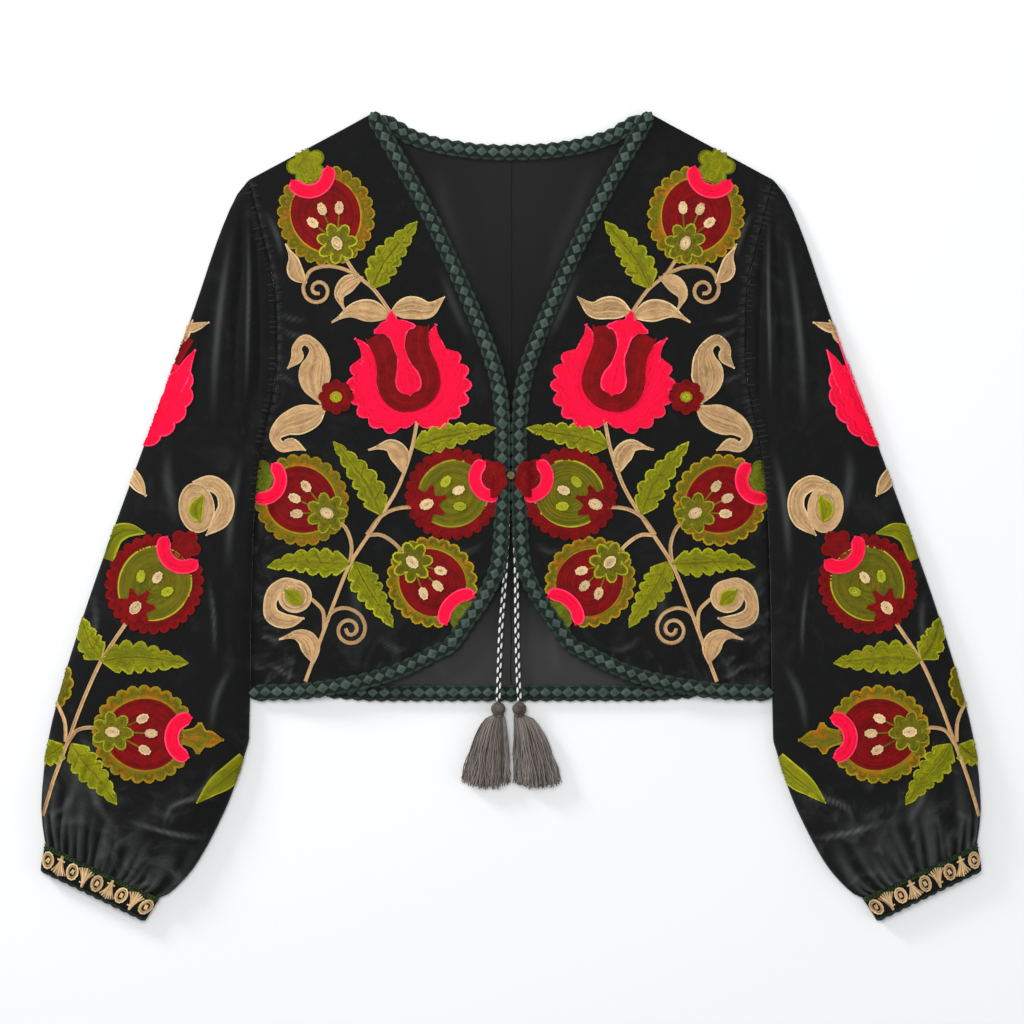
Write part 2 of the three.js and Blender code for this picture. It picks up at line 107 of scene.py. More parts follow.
def smoothLine(points, count=None, places=None):
    # a smooth line through the points, cut at even steps
    p = np.asarray(points, float)
    t = np.linspace(0, 1, 20, endpoint=False)[:, None]
    parts = []
    for i in range(len(p) - 1):
        a, b, c, d = p[max(i - 1, 0)], p[i], p[i + 1], p[min(i + 2, len(p) - 1)]
        slope, bend, twist = c - a, 2 * a - 5 * b + 4 * c - d, 3 * b - a - 3 * c + d
        parts.append(b + 0.5 * (slope * t + bend * t**2 + twist * t**3))
    return evenly(np.vstack(parts + [p[-1:]]), count, places)


def smoothStep(low, high, value):
    t = np.clip((value - low) / (high - low), 0, 1)
    return t * t * (3 - 2 * t)


def sideways(line):
    # unit vectors square to a plan line, on its left, and along it
    tangent = np.gradient(line, axis=0)
    tangent /= np.maximum(np.linalg.norm(tangent, axis=1), 1e-9)[:, None]
    return np.column_stack([-tangent[:, 1], tangent[:, 0]]), tangent


def fourSided(top, bottom, left, right):
    u = np.linspace(0, 1, len(top))[None, :, None]
    v = np.linspace(0, 1, len(left))[:, None, None]
    edges = (1 - v) * top[None] + v * bottom[None] + (1 - u) * left[:, None] + u * right[:, None]
    corners = (1 - v) * ((1 - u) * top[0] + u * top[-1]) + v * ((1 - u) * bottom[0] + u * bottom[-1])
    return edges - corners


def closedSheet(name, plan, low, high):
    # a wall over a grid of plan points, closed by its rim
    rows, columns = plan.shape[:2]
    count = rows * columns
    vertices = np.vstack([np.dstack([plan, high]).reshape(-1, 3), np.dstack([plan, low]).reshape(-1, 3)])
    index = np.arange(count).reshape(rows, columns)
    rim = np.concatenate([index[0, :-1], index[:-1, -1], index[-1, :0:-1], index[:0:-1, 0]])
    after = np.roll(rim, -1)
    walls = np.column_stack([after, rim, rim + count, after + count])
    faces = np.vstack([gridFaces(rows, columns), gridFaces(rows, columns, count)[:, ::-1], walls])
    return linkMesh(name, vertices, outward(vertices, faces))


def closedTube(name, outer, inner):
    rows, count = outer.shape[:2]
    size = rows * count
    vertices = np.vstack([outer.reshape(-1, 3), inner.reshape(-1, 3)])
    faces = [gridFaces(rows, count, 0, True), gridFaces(rows, count, size, True)[:, ::-1]]
    ring = np.arange(count)
    after = np.roll(ring, -1)
    faces.append(np.column_stack([after, ring, ring + size, after + size]))
    end = ring + size - count
    faces.append(np.column_stack([end, np.roll(end, -1), np.roll(end, -1) + size, end + size]))
    faces = np.vstack(faces)
    return linkMesh(name, vertices, outward(vertices, faces))


def mirrorPlan(plan):
    return plan * np.array([-1.0, 1.0])


def closeEnds(obj, joinTips=False):
    # fills the open rings of a swept form, or joins the points at its tips
    work = bmesh.new()
    work.from_mesh(obj.data)
    if joinTips:
        bmesh.ops.remove_doubles(work, verts=work.verts, dist=1e-6)
    else:
        bmesh.ops.holes_fill(work, edges=[e for e in work.edges if e.is_boundary], sides=0)
    bmesh.ops.recalc_face_normals(work, faces=work.faces)
    work.to_mesh(obj.data)
    work.free()
    obj.data.shade_smooth()


def joinInto(name, objects):
    # one object from several finished ones
    bpy.ops.object.select_all(action="DESELECT")
    for obj in objects:
        obj.select_set(True)
    bpy.context.view_layer.objects.active = objects[0]
    bpy.ops.object.join()
    objects[0].name = name
    return objects[0]


# node trees: sockets are given as label, kind and, where they have one, a value
def newTree(kind, name, inputs, outputs):
    tree = bpy.data.node_groups.new(name, kind)
    for way, sockets in (("INPUT", inputs), ("OUTPUT", outputs)):
        for label, socketKind, *value in sockets:
            socket = tree.interface.new_socket(label, in_out=way, socket_type="NodeSocket" + socketKind)
            if value:
                socket.default_value = value[0]
    return tree, tree.nodes.new("NodeGroupInput").outputs, tree.nodes.new("NodeGroupOutput")


def addNode(tree, kind, inputs=None, **settings):
    # each input is a plain value or another node's output
    node = tree.nodes.new(kind)
    for key, value in settings.items():
        setattr(node, key, value)
    for key, value in (inputs or {}).items():
        if isinstance(value, bpy.types.NodeSocket):
            tree.links.new(value, node.inputs[key])
        else:
            node.inputs[key].default_value = value
    return node


def finishTree(tree, end, results):
    for label, socket in results.items():
        tree.links.new(socket, end.inputs[label])
    return tree


def mathNode(tree, operation, *values, clamp=False):
    inputs = dict(enumerate(values))
    return addNode(tree, "ShaderNodeMath", inputs, operation=operation, use_clamp=clamp).outputs[0]


def noiseNode(tree, vector, scale, detail, rough=0.55, distortion=0.0):
    inputs = {"Vector": vector, "Scale": scale, "Detail": detail, "Roughness": rough,
              "Distortion": distortion}
    return addNode(tree, "ShaderNodeTexNoise", inputs).outputs["Fac"]


def mixColour(tree, factor, a, b, blend="MIX"):
    inputs = {0: factor, 6: a, 7: b}
    return addNode(tree, "ShaderNodeMix", inputs, data_type="RGBA", blend_type=blend).outputs[2]


def rampNode(tree, value, low, high):
    inputs = {"Value": value, "From Min": low, "From Max": high}
    return addNode(tree, "ShaderNodeMapRange", inputs, interpolation_type="SMOOTHSTEP").outputs["Result"]


# shader groups
def pileGroup():
    # crushed pile: dark ground, lighter places painted as sheen on ridges and crumpled places, fine nap and
    # soft dents
    tree, given, end = newTree(
        "ShaderNodeTree", "crushedPile",
        [("Vector", "Vector"), ("Ground", "Color", (0, 0, 0, 1)), ("Rubbed", "Color", (0, 0, 0, 1)),
         ("Rub", "Float", 0.0), ("Crumple", "Float", 0.0), ("Nap Scale", "Float", 900.0),
         ("Dent Scale", "Float", 26.0)],
        [("Colour", "Color"), ("Roughness", "Float"), ("Height", "Float")])
    nap = noiseNode(tree, given["Vector"], given["Nap Scale"], 2.0)
    dents = noiseNode(tree, given["Vector"], given["Dent Scale"], 5.0, 0.6, 1.2)
    # crumpled places get clouds of painted sheen
    haze = mathNode(tree, "MULTIPLY_ADD", given["Crumple"], 0.13, 0.02)
    clouds = mathNode(tree, "MULTIPLY", rampNode(tree, dents, 0.5, 0.74), haze)
    paintedAmount = mathNode(tree, "MULTIPLY_ADD", given["Rub"], 0.8, clouds, clamp=True)
    shade = mixColour(tree, paintedAmount, given["Ground"], given["Rubbed"])
    speck = mathNode(tree, "MULTIPLY_ADD", nap, 0.7, 0.65)
    return finishTree(tree, end, {
        "Colour": mixColour(tree, 1.0, shade, speck, "MULTIPLY"),
        "Roughness": mathNode(tree, "MULTIPLY_ADD", paintedAmount, -0.3, 0.95),
        "Height": mathNode(tree, "MULTIPLY_ADD", dents, 1.4, mathNode(tree, "MULTIPLY", nap, 0.16))})


def yarnGroup():
    # dyed yarn: patchy dye, a shade for each stitch and fine fibres
    tree, given, end = newTree(
        "ShaderNodeTree", "dyedYarn",
        [("Vector", "Vector"), ("Dye", "Color", (1, 1, 1, 1)), ("Second Dye", "Color", (1, 1, 1, 1)),
         ("Mottle", "Float", 0.5), ("Shade", "Float", 0.5), ("Depth", "Float", 0.46),
         ("Fibre Scale", "Float", 2400.0)],
        [("Colour", "Color"), ("Roughness", "Float"), ("Height", "Float")])
    dye = rampNode(tree, noiseNode(tree, given["Vector"], 110.0, 3.0), 0.42, 0.66)
    mottle = mathNode(tree, "MULTIPLY", dye, given["Mottle"])
    base = mixColour(tree, mottle, given["Dye"], given["Second Dye"])
    fibre = noiseNode(tree, given["Vector"], given["Fibre Scale"], 1.0)
    light = mathNode(tree, "SUBTRACT", given["Shade"], 0.5)
    light = mathNode(tree, "MULTIPLY_ADD", light, given["Depth"], 1.0)
    light = mathNode(tree, "MULTIPLY", light, mathNode(tree, "MULTIPLY_ADD", fibre, 0.24, 0.88))
    return finishTree(tree, end, {
        "Colour": mixColour(tree, 1.0, base, light, "MULTIPLY"),
        "Roughness": mathNode(tree, "MULTIPLY_ADD", fibre, 0.3, 0.5),
        "Height": fibre})


crushedPile = pileGroup()
dyedYarn = yarnGroup()


def linear(red, green, blue):
    values = [c / 255 for c in (red, green, blue)]
    return tuple(c / 12.92 if c < 0.04 else ((c + 0.055) / 1.055) ** 2.4 for c in values) + (1.0,)


def makeMaterial(name, effect, inputs, fields, sheen, specular, bump, distance):
    # a shared effect gives colour, roughness and height; fields are the mesh attributes that it reads
    material = bpy.data.materials.new(name)
    material.use_nodes = True
    tree = material.node_tree
    shader = tree.nodes["Principled BSDF"]
    constants = {"Sheen Weight": sheen[0], "Sheen Roughness": sheen[1], "Specular IOR Level": specular}
    for label, value in constants.items():
        shader.inputs[label].default_value = value
    inputs = {"Vector": addNode(tree, "ShaderNodeTexCoord").outputs["Object"], **inputs}
    for label, field in fields.items():
        inputs[label] = addNode(tree, "ShaderNodeAttribute", attribute_name=field).outputs["Fac"]
    made = addNode(tree, "ShaderNodeGroup", inputs, node_tree=effect, name="effect").outputs
    dents = {"Strength": bump, "Distance": distance, "Height": made["Height"]}
    relief = addNode(tree, "ShaderNodeBump", dents).outputs["Normal"]
    finishTree(tree, shader, {"Base Color": made["Colour"], "Roughness": made["Roughness"], "Normal": relief})
    return material


def clothMaterial(name, ground, paintedLight, sheen=0.25, nap=900.0, dent=26.0, bump=0.55, specular=0.25):
    inputs = {"Ground": linear(*ground), "Rubbed": linear(*paintedLight), "Nap Scale": nap, "Dent Scale": dent}
    fields = {"Rub": "paintedLight", "Crumple": "crumple"}
    return makeMaterial(name, crushedPile, inputs, fields, (sheen, 0.4), specular, bump, 0.0012)


def yarnMaterial(name, dye, second, mottle, depth=0.66):
    inputs = {"Dye": linear(*dye), "Second Dye": linear(*second), "Mottle": mottle, "Depth": depth}
    return makeMaterial(name, dyedYarn, inputs, {"Shade": "shade"}, (0.02, 0.5), 0.12, 0.2, 0.0004)


# the second colour of each cloth is its painted light: sheen and highlight painted on ridges and crumpled
# places
velvet = clothMaterial("blackVelvet", (22, 23, 22), (116, 119, 116), 0.06, bump=0.4, specular=0.09)
liningCloth = clothMaterial("charcoalLining", (25, 24, 24), (70, 69, 70), 0.02, 2600.0, 12.0, 0.35, 0.22)
bandCloth = clothMaterial("braidGround", (22, 30, 26), (48, 62, 54), 0.05, 1800.0, 60.0)
yarns = {
    "pink": yarnMaterial("pinkYarn", (252, 0, 58), (240, 0, 48), 0.5),
    "rose": yarnMaterial("roseYarn", (252, 58, 100), (244, 30, 80), 0.6),
    "red": yarnMaterial("darkRedYarn", (124, 0, 3), (98, 0, 2), 0.7),
    "olive": yarnMaterial("oliveYarn", (96, 94, 3), (114, 98, 5), 0.7),
    "amber": yarnMaterial("amberYarn", (110, 101, 5), (160, 94, 7), 0.9),
    "gold": yarnMaterial("goldYarn", (150, 128, 14), (166, 122, 12), 0.7),
    "leaf": yarnMaterial("leafYarn", (129, 128, 2), (104, 110, 4), 0.7),
    "leafDark": yarnMaterial("darkLeafYarn", (86, 96, 6), (104, 106, 6), 0.8),
    "lime": yarnMaterial("limeYarn", (158, 160, 30), (140, 148, 18), 0.6),
    "cream": yarnMaterial("beigeYarn", (188, 150, 105), (172, 135, 92), 0.7, depth=0.8),
    "seed": yarnMaterial("seedYarn", (212, 182, 135), (196, 163, 116), 0.5),
    "pale": yarnMaterial("palePinkYarn", (244, 176, 202), (232, 150, 182), 0.6),
}
braidYarn = yarnMaterial("braidYarn", (76, 92, 84), (56, 72, 64), 0.8, depth=0.5)
braidDeep = yarnMaterial("braidDeepYarn", (64, 80, 72), (48, 64, 56), 0.7, depth=0.5)
braidEdge = yarnMaterial("braidEdge", (32, 44, 38), (46, 60, 52), 0.7)
pipingYarn = yarnMaterial("pipingYarn", (34, 58, 30), (60, 82, 46), 0.8)
tasselYarn = yarnMaterial("tasselYarn", (126, 118, 111), (112, 105, 99), 0.6, depth=0.95)
tasselBound = yarnMaterial("tasselHeadYarn", (116, 108, 101), (74, 68, 64), 1.0)
# painted highlight: velvet for the seam puckers and sewing line, lighter than the ground
seamHighlight = clothMaterial("seamVelvet", (36, 37, 36), (90, 92, 90), 0.05, specular=0.12)
print("materials ready")


# what repeats along a path: one tree for stitches, braid lozenges and scallops
def finishGeometry(tree, given, end, geometry):
    whole = addNode(tree, "GeometryNodeRealizeInstances", {"Geometry": geometry})
    parts = {"Geometry": whole.outputs[0], "Material": given["Finish"]}
    dyed = addNode(tree, "GeometryNodeSetMaterial", parts)
    return finishTree(tree, end, {"Geometry": dyed.outputs[0]})


def repeatTree():
    tree, given, end = newTree(
        "GeometryNodeTree", "repeatAlongPath",
        [("Geometry", "Geometry"), ("Spacing", "Float", 0.003), ("Item", "Object"),
         ("Smallest", "Float", 0.9), ("Largest", "Float", 1.1), ("Seed", "Int", 1), ("Finish", "Material")],
        [("Geometry", "Geometry")])
    curve = addNode(tree, "GeometryNodeMeshToCurve", {"Mesh": given["Geometry"]})
    upright = addNode(tree, "GeometryNodeSetCurveNormal", {"Curve": curve.outputs[0]}, mode="Z_UP")
    cut = {"Curve": upright.outputs[0], "Length": given["Spacing"]}
    points = addNode(tree, "GeometryNodeCurveToPoints", cut, mode="LENGTH")
    stitchShade = addNode(tree, "FunctionNodeRandomValue", {"Seed": mathNode(tree, "ADD", given["Seed"], 7)})
    rowShade = addNode(tree, "GeometryNodeInputNamedAttribute", {"Name": "rowShade"}, data_type="FLOAT")
    mixed = {"Factor": 0.68, 2: stitchShade.outputs[1], 3: rowShade.outputs[0]}
    shade = addNode(tree, "ShaderNodeMix", mixed)
    shaded = {"Geometry": points.outputs["Points"], "Name": "shade", "Value": shade.outputs[0]}
    stored = addNode(tree, "GeometryNodeStoreNamedAttribute", shaded, data_type="FLOAT")
    item = addNode(tree, "GeometryNodeObjectInfo", {"Object": given["Item"]})
    sizes = {2: given["Smallest"], 3: given["Largest"], "Seed": given["Seed"]}
    size = addNode(tree, "FunctionNodeRandomValue", sizes)
    copies = addNode(tree, "GeometryNodeInstanceOnPoints", {
        "Points": stored.outputs[0], "Instance": item.outputs["Geometry"],
        "Rotation": points.outputs["Rotation"], "Scale": size.outputs[1]})
    return finishGeometry(tree, given, end, copies.outputs["Instances"])


def strandTree():
    tree, given, end = newTree(
        "GeometryNodeTree", "looseStrands",
        [("Geometry", "Geometry"), ("Thickness", "Float", 0.0004), ("Sides", "Int", 4), ("Seed", "Int", 1),
         ("Finish", "Material")],
        [("Geometry", "Geometry")])
    curve = addNode(tree, "GeometryNodeMeshToCurve", {"Mesh": given["Geometry"]})
    shade = addNode(tree, "FunctionNodeRandomValue", {"Seed": given["Seed"]})
    shaded = {"Geometry": curve.outputs[0], "Name": "shade", "Value": shade.outputs[1]}
    stored = addNode(tree, "GeometryNodeStoreNamedAttribute", shaded, data_type="FLOAT", domain="CURVE")
    section = {"Resolution": given["Sides"], "Radius": given["Thickness"]}
    ring = addNode(tree, "GeometryNodeCurvePrimitiveCircle", section)
    swept = {"Curve": stored.outputs[0], "Profile Curve": ring.outputs["Curve"], "Fill Caps": True}
    tube = addNode(tree, "GeometryNodeCurveToMesh", swept)
    return finishGeometry(tree, given, end, tube.outputs["Mesh"])


repeatAlong = repeatTree()
looseStrands = strandTree()


def pathObject(name, lines, closed=None):
    # one mesh of all the lines; each line has a shade of its own
    rng = random.Random(len(lines))
    vertices, edges, shades = [], [], []
    for line, loop in zip(lines, closed or [False] * len(lines)):
        first = len(vertices)
        vertices += [tuple(p) for p in np.asarray(line) * mm]
        shades += [rng.random()] * len(line)
        edges += [(first + k, first + k + 1) for k in range(len(line) - 1)]
        if loop:
            edges.append((len(vertices) - 1, first))
    mesh = bpy.data.meshes.new(name)
    mesh.from_pydata(vertices, edges, [])
    mesh.attributes.new("rowShade", "FLOAT", "POINT").data.foreach_set("value", shades)
    return link(bpy.data.objects.new(name, mesh))


def applied(obj, modifier):
    # keeps the modifier's result as a plain mesh
    bpy.context.view_layer.update()
    mesh = bpy.data.meshes.new_from_object(obj.evaluated_get(bpy.context.evaluated_depsgraph_get()))
    obj.modifiers.remove(modifier)
    obj.data = mesh
    return obj


def applyTree(obj, tree, values):
    modifier = obj.modifiers.new(tree.name, "NODES")
    modifier.node_group = tree
    for socket in tree.interface.items_tree:
        if socket.in_out == "INPUT" and socket.name in values:
            modifier[socket.identifier] = values[socket.name]
    return applied(obj, modifier)


def repeatOn(name, lines, item, spacing, material, sizes, seed, closed=None):
    # lays copies of item along the lines; sizes are the smallest and largest scale
    return applyTree(pathObject(name, lines, closed), repeatAlong, {
        "Spacing": spacing * mm, "Item": item, "Smallest": sizes[0], "Largest": sizes[1], "Seed": seed,
        "Finish": material})


items = []


def addItem(name, vertices, faces, smooth=True):
    items.append(linkMesh(name, vertices, faces, smooth))
    return items[-1]


def profileItem(name, rings, sides=6):
    # a small closed item along Z: rings of (z, half width, half height), closed by a point at each end
    vertices = [(0, 0, rings[0][0])]
    for z, wide, tall in rings[1:-1]:
        for k in range(sides):
            angle = 2 * math.pi * k / sides
            vertices.append((wide * math.cos(angle), tall * math.sin(angle), z))
    vertices.append((0, 0, rings[-1][0]))
    faces = []
    for k in range(sides):
        after = (k + 1) % sides
        faces.append((0, 1 + after, 1 + k))
        for r in range(len(rings) - 3):
            base = 1 + r * sides
            faces.append((base + k, base + after, base + sides + after, base + sides + k))
        base = 1 + (len(rings) - 3) * sides
        faces.append((base + k, base + after, len(vertices) - 1))
    return addItem(name, vertices, faces)


# the cut of the body
body = {
    "neck": (116.8, 338.2), "shoulder": (220.6, 282.4), "hem": -148.7,
    "velvet": 1.8, "front": 2.0, "seam": 0.3, "liningCloth": 1.0, "rim": 0.6,
    "rows": 168, "columns": 72, "rise": 2.9, "loft": 0.9, "neckPoints": 40, "backGrid": 84, "deepest": 0.7,
}
frontEdge = [body["neck"], (64.7, 245), (17.5, 136), (7.4, 84), (7.1, 45), (7.2, 6), (14.0, -51),
             (50.4, -107.8)]
frontHem = [(219.2, body["hem"]), (163, -145.6), (101.6, -132.6), (50.4, -107.8)]
armholeAndSide = [body["shoulder"], (211.4, 244.9), (199.9, 197), (197.4, 155.8), (199.1, 113),
                  (209.2, 63), (215.6, 5), (218.4, -80), (219.2, body["hem"])]
backNeck = [(0, 305.4), (27, 306.2), (59.3, 311), (84, 318.5), body["neck"]]
liningTop = body["velvet"] + body["seam"] + body["liningCloth"]

# soft ridges and troughs: points, half width, height
frontCreases = [
    ([(196, 172), (184, 166), (168, 164)], 2.6, 0.7),
    ([(196, 160), (181, 152), (160, 149)], 2.4, 0.8),
    ([(197, 147), (186, 139), (172, 137)], 2.2, -0.8),
    ([(200, 120), (188, 116), (176, 108)], 2.4, 0.7),
    ([(203, 92), (192, 84), (184, 70)], 3.0, -0.8),
    ([(190, 262), (176, 236), (172, 214)], 5.0, -0.7),
    ([(206, 258), (196, 238), (190, 214)], 3.4, 0.9),
    ([(120, 300), (104, 268), (80, 236)], 6.0, -0.6),
    ([(60, 214), (46, 176), (30, 142)], 5.0, 0.6),
    ([(214, -96), (196, -104), (176, -98), (160, -104)], 2.6, 1.0),
    ([(212, -112), (198, -122), (184, -118)], 2.2, -1.0),
    ([(213, -128), (198, -126), (186, -134), (172, -136)], 2.0, 1.1),
    ([(206, -88), (204, -110), (196, -132)], 2.4, -0.8),
    ([(216, -60), (206, -70), (190, -76)], 2.6, 0.7),
    ([(112, -100), (96, -112), (82, -110)], 3.0, 0.6),
    ([(24, 60), (40, 68), (54, 62)], 3.4, -0.5),
    ([(20, -22), (34, -30), (50, -28)], 3.2, 0.6),
    ([(186, 60), (194, 30), (198, -8), (204, -50)], 4.2, -0.8),
    ([(208, 40), (206, 10), (210, -26)], 3.0, 0.8),
    ([(140, -20), (128, -70), (132, -118)], 7.0, 0.5),
]


def creaseRelief(x, y, creases):
    # height of all creases at x, y, and the highlight painted on their ridges
    relief = np.zeros_like(x)
    paintedLight = np.zeros_like(x)
    for points, width, height in creases:
        line = smoothLine(points, 10)
        nearest = np.full_like(x, 1e9)
        along = np.zeros_like(x)
        for k in range(10):
            (ax, ay), (bx, by) = line[k], line[k + 1]
            dx, dy = bx - ax, by - ay
            t = np.clip(((x - ax) * dx + (y - ay) * dy) / (dx * dx + dy * dy), 0, 1)
            d = np.hypot(x - ax - t * dx, y - ay - t * dy)
            closer = d < nearest
            nearest = np.where(closer, d, nearest)
            along = np.where(closer, (k + t) / 10, along)
        shape = np.exp(-((nearest / width) ** 2)) * np.sin(np.pi * np.clip(along, 0.0, 1.0)) ** 0.6
        relief += height * shape
        if height > 0:
            paintedLight += 0.3 * height * shape**3
    return relief, paintedLight


def softWaves(x, y):
    # broad unevenness of cloth that lies without being pressed
    waves = np.sin(x / 31 + 0.6 * np.sin(y / 43)) * np.sin(y / 57 + 1.1)
    return 0.28 * (waves + 0.6 * np.sin((x + 0.7 * y) / 23 + 2.0))


def frontHeights(plan, side):
    rows, columns = plan.shape[:2]
    u = np.linspace(0, 1, columns)[None, :]
    v = np.linspace(0, 1, rows)[:, None]
    fromSide = smoothStep(0.05, 0.2, u)
    fromShoulder = np.maximum(smoothStep(0, 0.045, v), smoothStep(0.8, 0.95, u))
    overTies = smoothStep(0.38, 0.62, v) * smoothStep(0.7, 0.94, u)
    overHem = smoothStep(0.84, 0.94, v) * smoothStep(0.1, 0.4, u)
    rise = np.maximum(overTies, overHem)
    loft = body["loft"] * np.sin(np.pi * u) * np.sin(np.pi * v)
    rest = body["velvet"]
    inside = liningTop + body["seam"] + loft + rise * body["rise"]
    low = rest + (inside - rest) * fromSide * fromShoulder
    x, y = np.abs(plan[..., 0]), plan[..., 1]
    relief, paintedLight = creaseRelief(x + 1.5 * side, y, frontCreases)
    corner = np.exp(-(((x - 198) / 26) ** 2 + ((y + 112) / 34) ** 2))
    along = 0.55 * np.exp(-(((x - 208) / 14) ** 2)) * (y < 190) + 0.45 * np.exp(-(((y + 128) / 22) ** 2))
    crumpled = np.clip(corner + along + 0.06 * (0.5 + 0.5 * np.sin(x / 17 + 2 * side) * np.sin(y / 29)), 0, 1)
    crushed, ridgeLight = crinkle(x * side, y, crumpled, 17.0, 1.5, 3.0)
    relief, paintedLight = relief + crushed, paintedLight + ridgeLight
    edge = np.minimum(smoothStep(0, 0.06, u), smoothStep(0, 0.05, 1 - u)) * smoothStep(0, 0.03, 1 - v)
    relief = (relief + softWaves(x * side, y)) * np.broadcast_to(edge, relief.shape)
    # puckers of the armhole seam
    seam = np.exp(-(((u * columns * 2.7) / 7.0) ** 2)) * (1 - smoothStep(0.5, 0.58, v))
    puckers = np.abs(np.sin(np.pi * y / 8.5 + 0.4 * side)) * seam
    # the edge by the armhole and the side seam turns down
    top = low + body["front"] + (relief + 1.3 * puckers)
    top = low + body["rim"] + (top - low - body["rim"]) * smoothStep(0, 0.012, u)
    # painted highlight on the crease, wrinkle and pucker ridges
    return low, top, paintedLight + 0.22 * puckers**2, crumpled


def storePaintedLight(obj, paintedLight, crumpled=None):
    # the painted light of each vertex, for the top layer and then whatever follows it
    for name, given in (("paintedLight", paintedLight), ("crumple", crumpled)):
        values = np.zeros(len(obj.data.vertices))
        if given is not None:
            flat = np.clip(np.asarray(given).reshape(-1), 0, 1)
            values[: len(flat)] = flat
        attribute = obj.data.attributes.new(name, "FLOAT", "POINT")
        attribute.data.foreach_set("value", values)


def crinkle(x, y, mask, scale, height, seed):
    # small sharp wrinkles where the pile has been crushed, and the highlight painted on their ridges
    relief, ridgeLight = np.zeros_like(x), np.zeros_like(x)
    for (i, j), amount in np.ndenumerate(np.broadcast_to(mask, x.shape)):
        if amount > 0.02:
            spot = Vector((x[i, j] / scale, y[i, j] / scale, seed))
            bent = spot + 0.5 * noise.noise_vector(spot * 0.7)
            ridge = 1 - min(1.0, 3.2 * abs(noise.noise(bent)))
            ridge += 0.5 * (1 - min(1.0, 3.0 * abs(noise.noise(bent * 2.1))))
            relief[i, j] = amount * height * (ridge - 0.55)
            patchy = smoothStep(0.0, 0.35, noise.noise(spot * 1.7 + Vector((4, 9, 2))))
            ridgeLight[i, j] = 0.4 * amount * patchy * max(0.0, ridge - 0.75)
    return relief, ridgeLight


pieces = {}
tops = {}


def keepTop(name, plan, top):
    rows, columns = plan.shape[:2]
    points = np.dstack([plan, top]).reshape(-1, 3)
    tops[name] = BVHTree.FromPolygons([Vector(p) for p in points], gridFaces(rows, columns).tolist())


def keepPiece(key, obj, material):
    obj.data.materials.append(material)
    pieces[key] = obj


def makeFronts():
    shoulder = smoothLine([body["shoulder"], body["neck"]], body["columns"])
    hem = smoothLine(frontHem, body["columns"])
    outer = smoothLine(armholeAndSide, body["rows"])
    plan = fourSided(shoulder, hem, outer, smoothLine(frontEdge, body["rows"]))
    for name, side in halves.items():
        low, top, paintedLight, crumpled = frontHeights(plan, side)
        placed = plan * np.array([side, 1])
        obj = closedSheet("frontPanel." + name, placed, low, top)
        storePaintedLight(obj, paintedLight, crumpled)
        keepTop("front" + name, placed, top)
        keepPiece("front_" + name, obj, velvet)
    return plan


frontPlan = makeFronts()
print("fronts made")


def spanPlan(halfTop, halfSide, across, down):
    # a panel over both halves: its side edges run down from the ends of its top edge
    right = smoothLine(halfSide, down)
    whole = np.vstack([right[:1], halfTop[::-1], mirrorPlan(halfTop)[1:], mirrorPlan(right[:1])])
    top = evenly(whole, across)
    bottom = np.column_stack([top[:, 0] * right[-1, 0] / right[0, 0], np.full(len(top), right[-1, 1])])
    return fourSided(top, bottom, right, mirrorPlan(right))


backCreases = [
    ([(-120, 240), (-60, 226), (10, 232)], 7.0, -0.5),
    ([(140, 120), (90, 96), (30, 104)], 8.0, -0.5),
    ([(-180, -60), (-120, -40), (-70, -66)], 7.0, -0.5),
    ([(60, -90), (120, -70), (180, -96)], 6.0, -0.5),
    ([(-40, 40), (-30, -30), (-44, -90)], 7.0, -0.4),
]
liningCreases = [
    ([(-62, 292), (-50, 240), (-26, 176)], 6.0, 0.5),
    ([(70, 298), (52, 250), (24, 190)], 6.0, 0.5),
    ([(-30, 290), (-22, 240), (-16, 180)], 4.0, -0.4),
    ([(34, 288), (30, 236), (18, 160)], 4.0, -0.4),
    ([(-80, -92), (-66, -112), (-54, -136)], 4.0, 0.6),
    ([(-52, -84), (-40, -104), (-28, -132)], 4.5, -0.5),
    ([(44, -80), (36, -104), (40, -134)], 4.5, 0.6),
    ([(84, -98), (72, -116), (66, -138)], 3.6, -0.5),
]


# the lining shows in the neck and below the curved fronts
lining = {
    "neck": [(0, 303.6), (27, 304.4), (58, 309), (82, 316), (104, 326.4)],
    "side": [(104, 326.4), (132, 250), (152, 120), (160, -20), (162, -146.5)],
    "neckPoints": 30, "across": 84, "down": 96, "gap": 0.1, "crease": 0.6, "frontsEnd": -60,
}


def makeBack():
    neck = smoothLine(backNeck, body["neckPoints"])
    plan = spanPlan(neck, armholeAndSide, body["backGrid"], body["backGrid"])
    dents, _ = creaseRelief(plan[..., 0], plan[..., 1], backCreases)
    low = np.minimum(-np.minimum(dents, 0), body["deepest"])
    keepPiece("back", closedSheet("backPanel", plan, low, np.full(low.shape, body["velvet"])), velvet)


def makeLining():
    neck = smoothLine(lining["neck"], lining["neckPoints"])
    plan = spanPlan(neck, lining["side"], lining["across"], lining["down"])
    x, y = plan[..., 0], plan[..., 1]
    # creases fade where the fronts press on the lining
    shown = 1 - smoothStep(0, 1, (np.abs(x) - np.maximum(8, (y - 100) * 0.5)) / 20)
    relief, _ = creaseRelief(x, y, liningCreases)
    relief = np.maximum(relief, -lining["crease"]) * np.where(y > lining["frontsEnd"], shown, 1)
    low = np.full(x.shape, body["velvet"] + lining["gap"])
    obj = closedSheet("backLining", plan, low, liningTop + np.minimum(relief, lining["crease"]))
    # painted light: the lining is painted lighter towards the bottom and down the middle under the neck, and
    # its crease ridges get painted highlight
    paintedPaler = 0.6 * smoothStep(-40, -120, y) + 0.12 * smoothStep(150, 300, y) * np.exp(-((x / 60) ** 2))
    storePaintedLight(obj, np.maximum(relief, 0) * 0.35 + paintedPaler)
    keepPiece("back_lining", obj, liningCloth)


makeBack()
makeLining()
print("back and lining made")


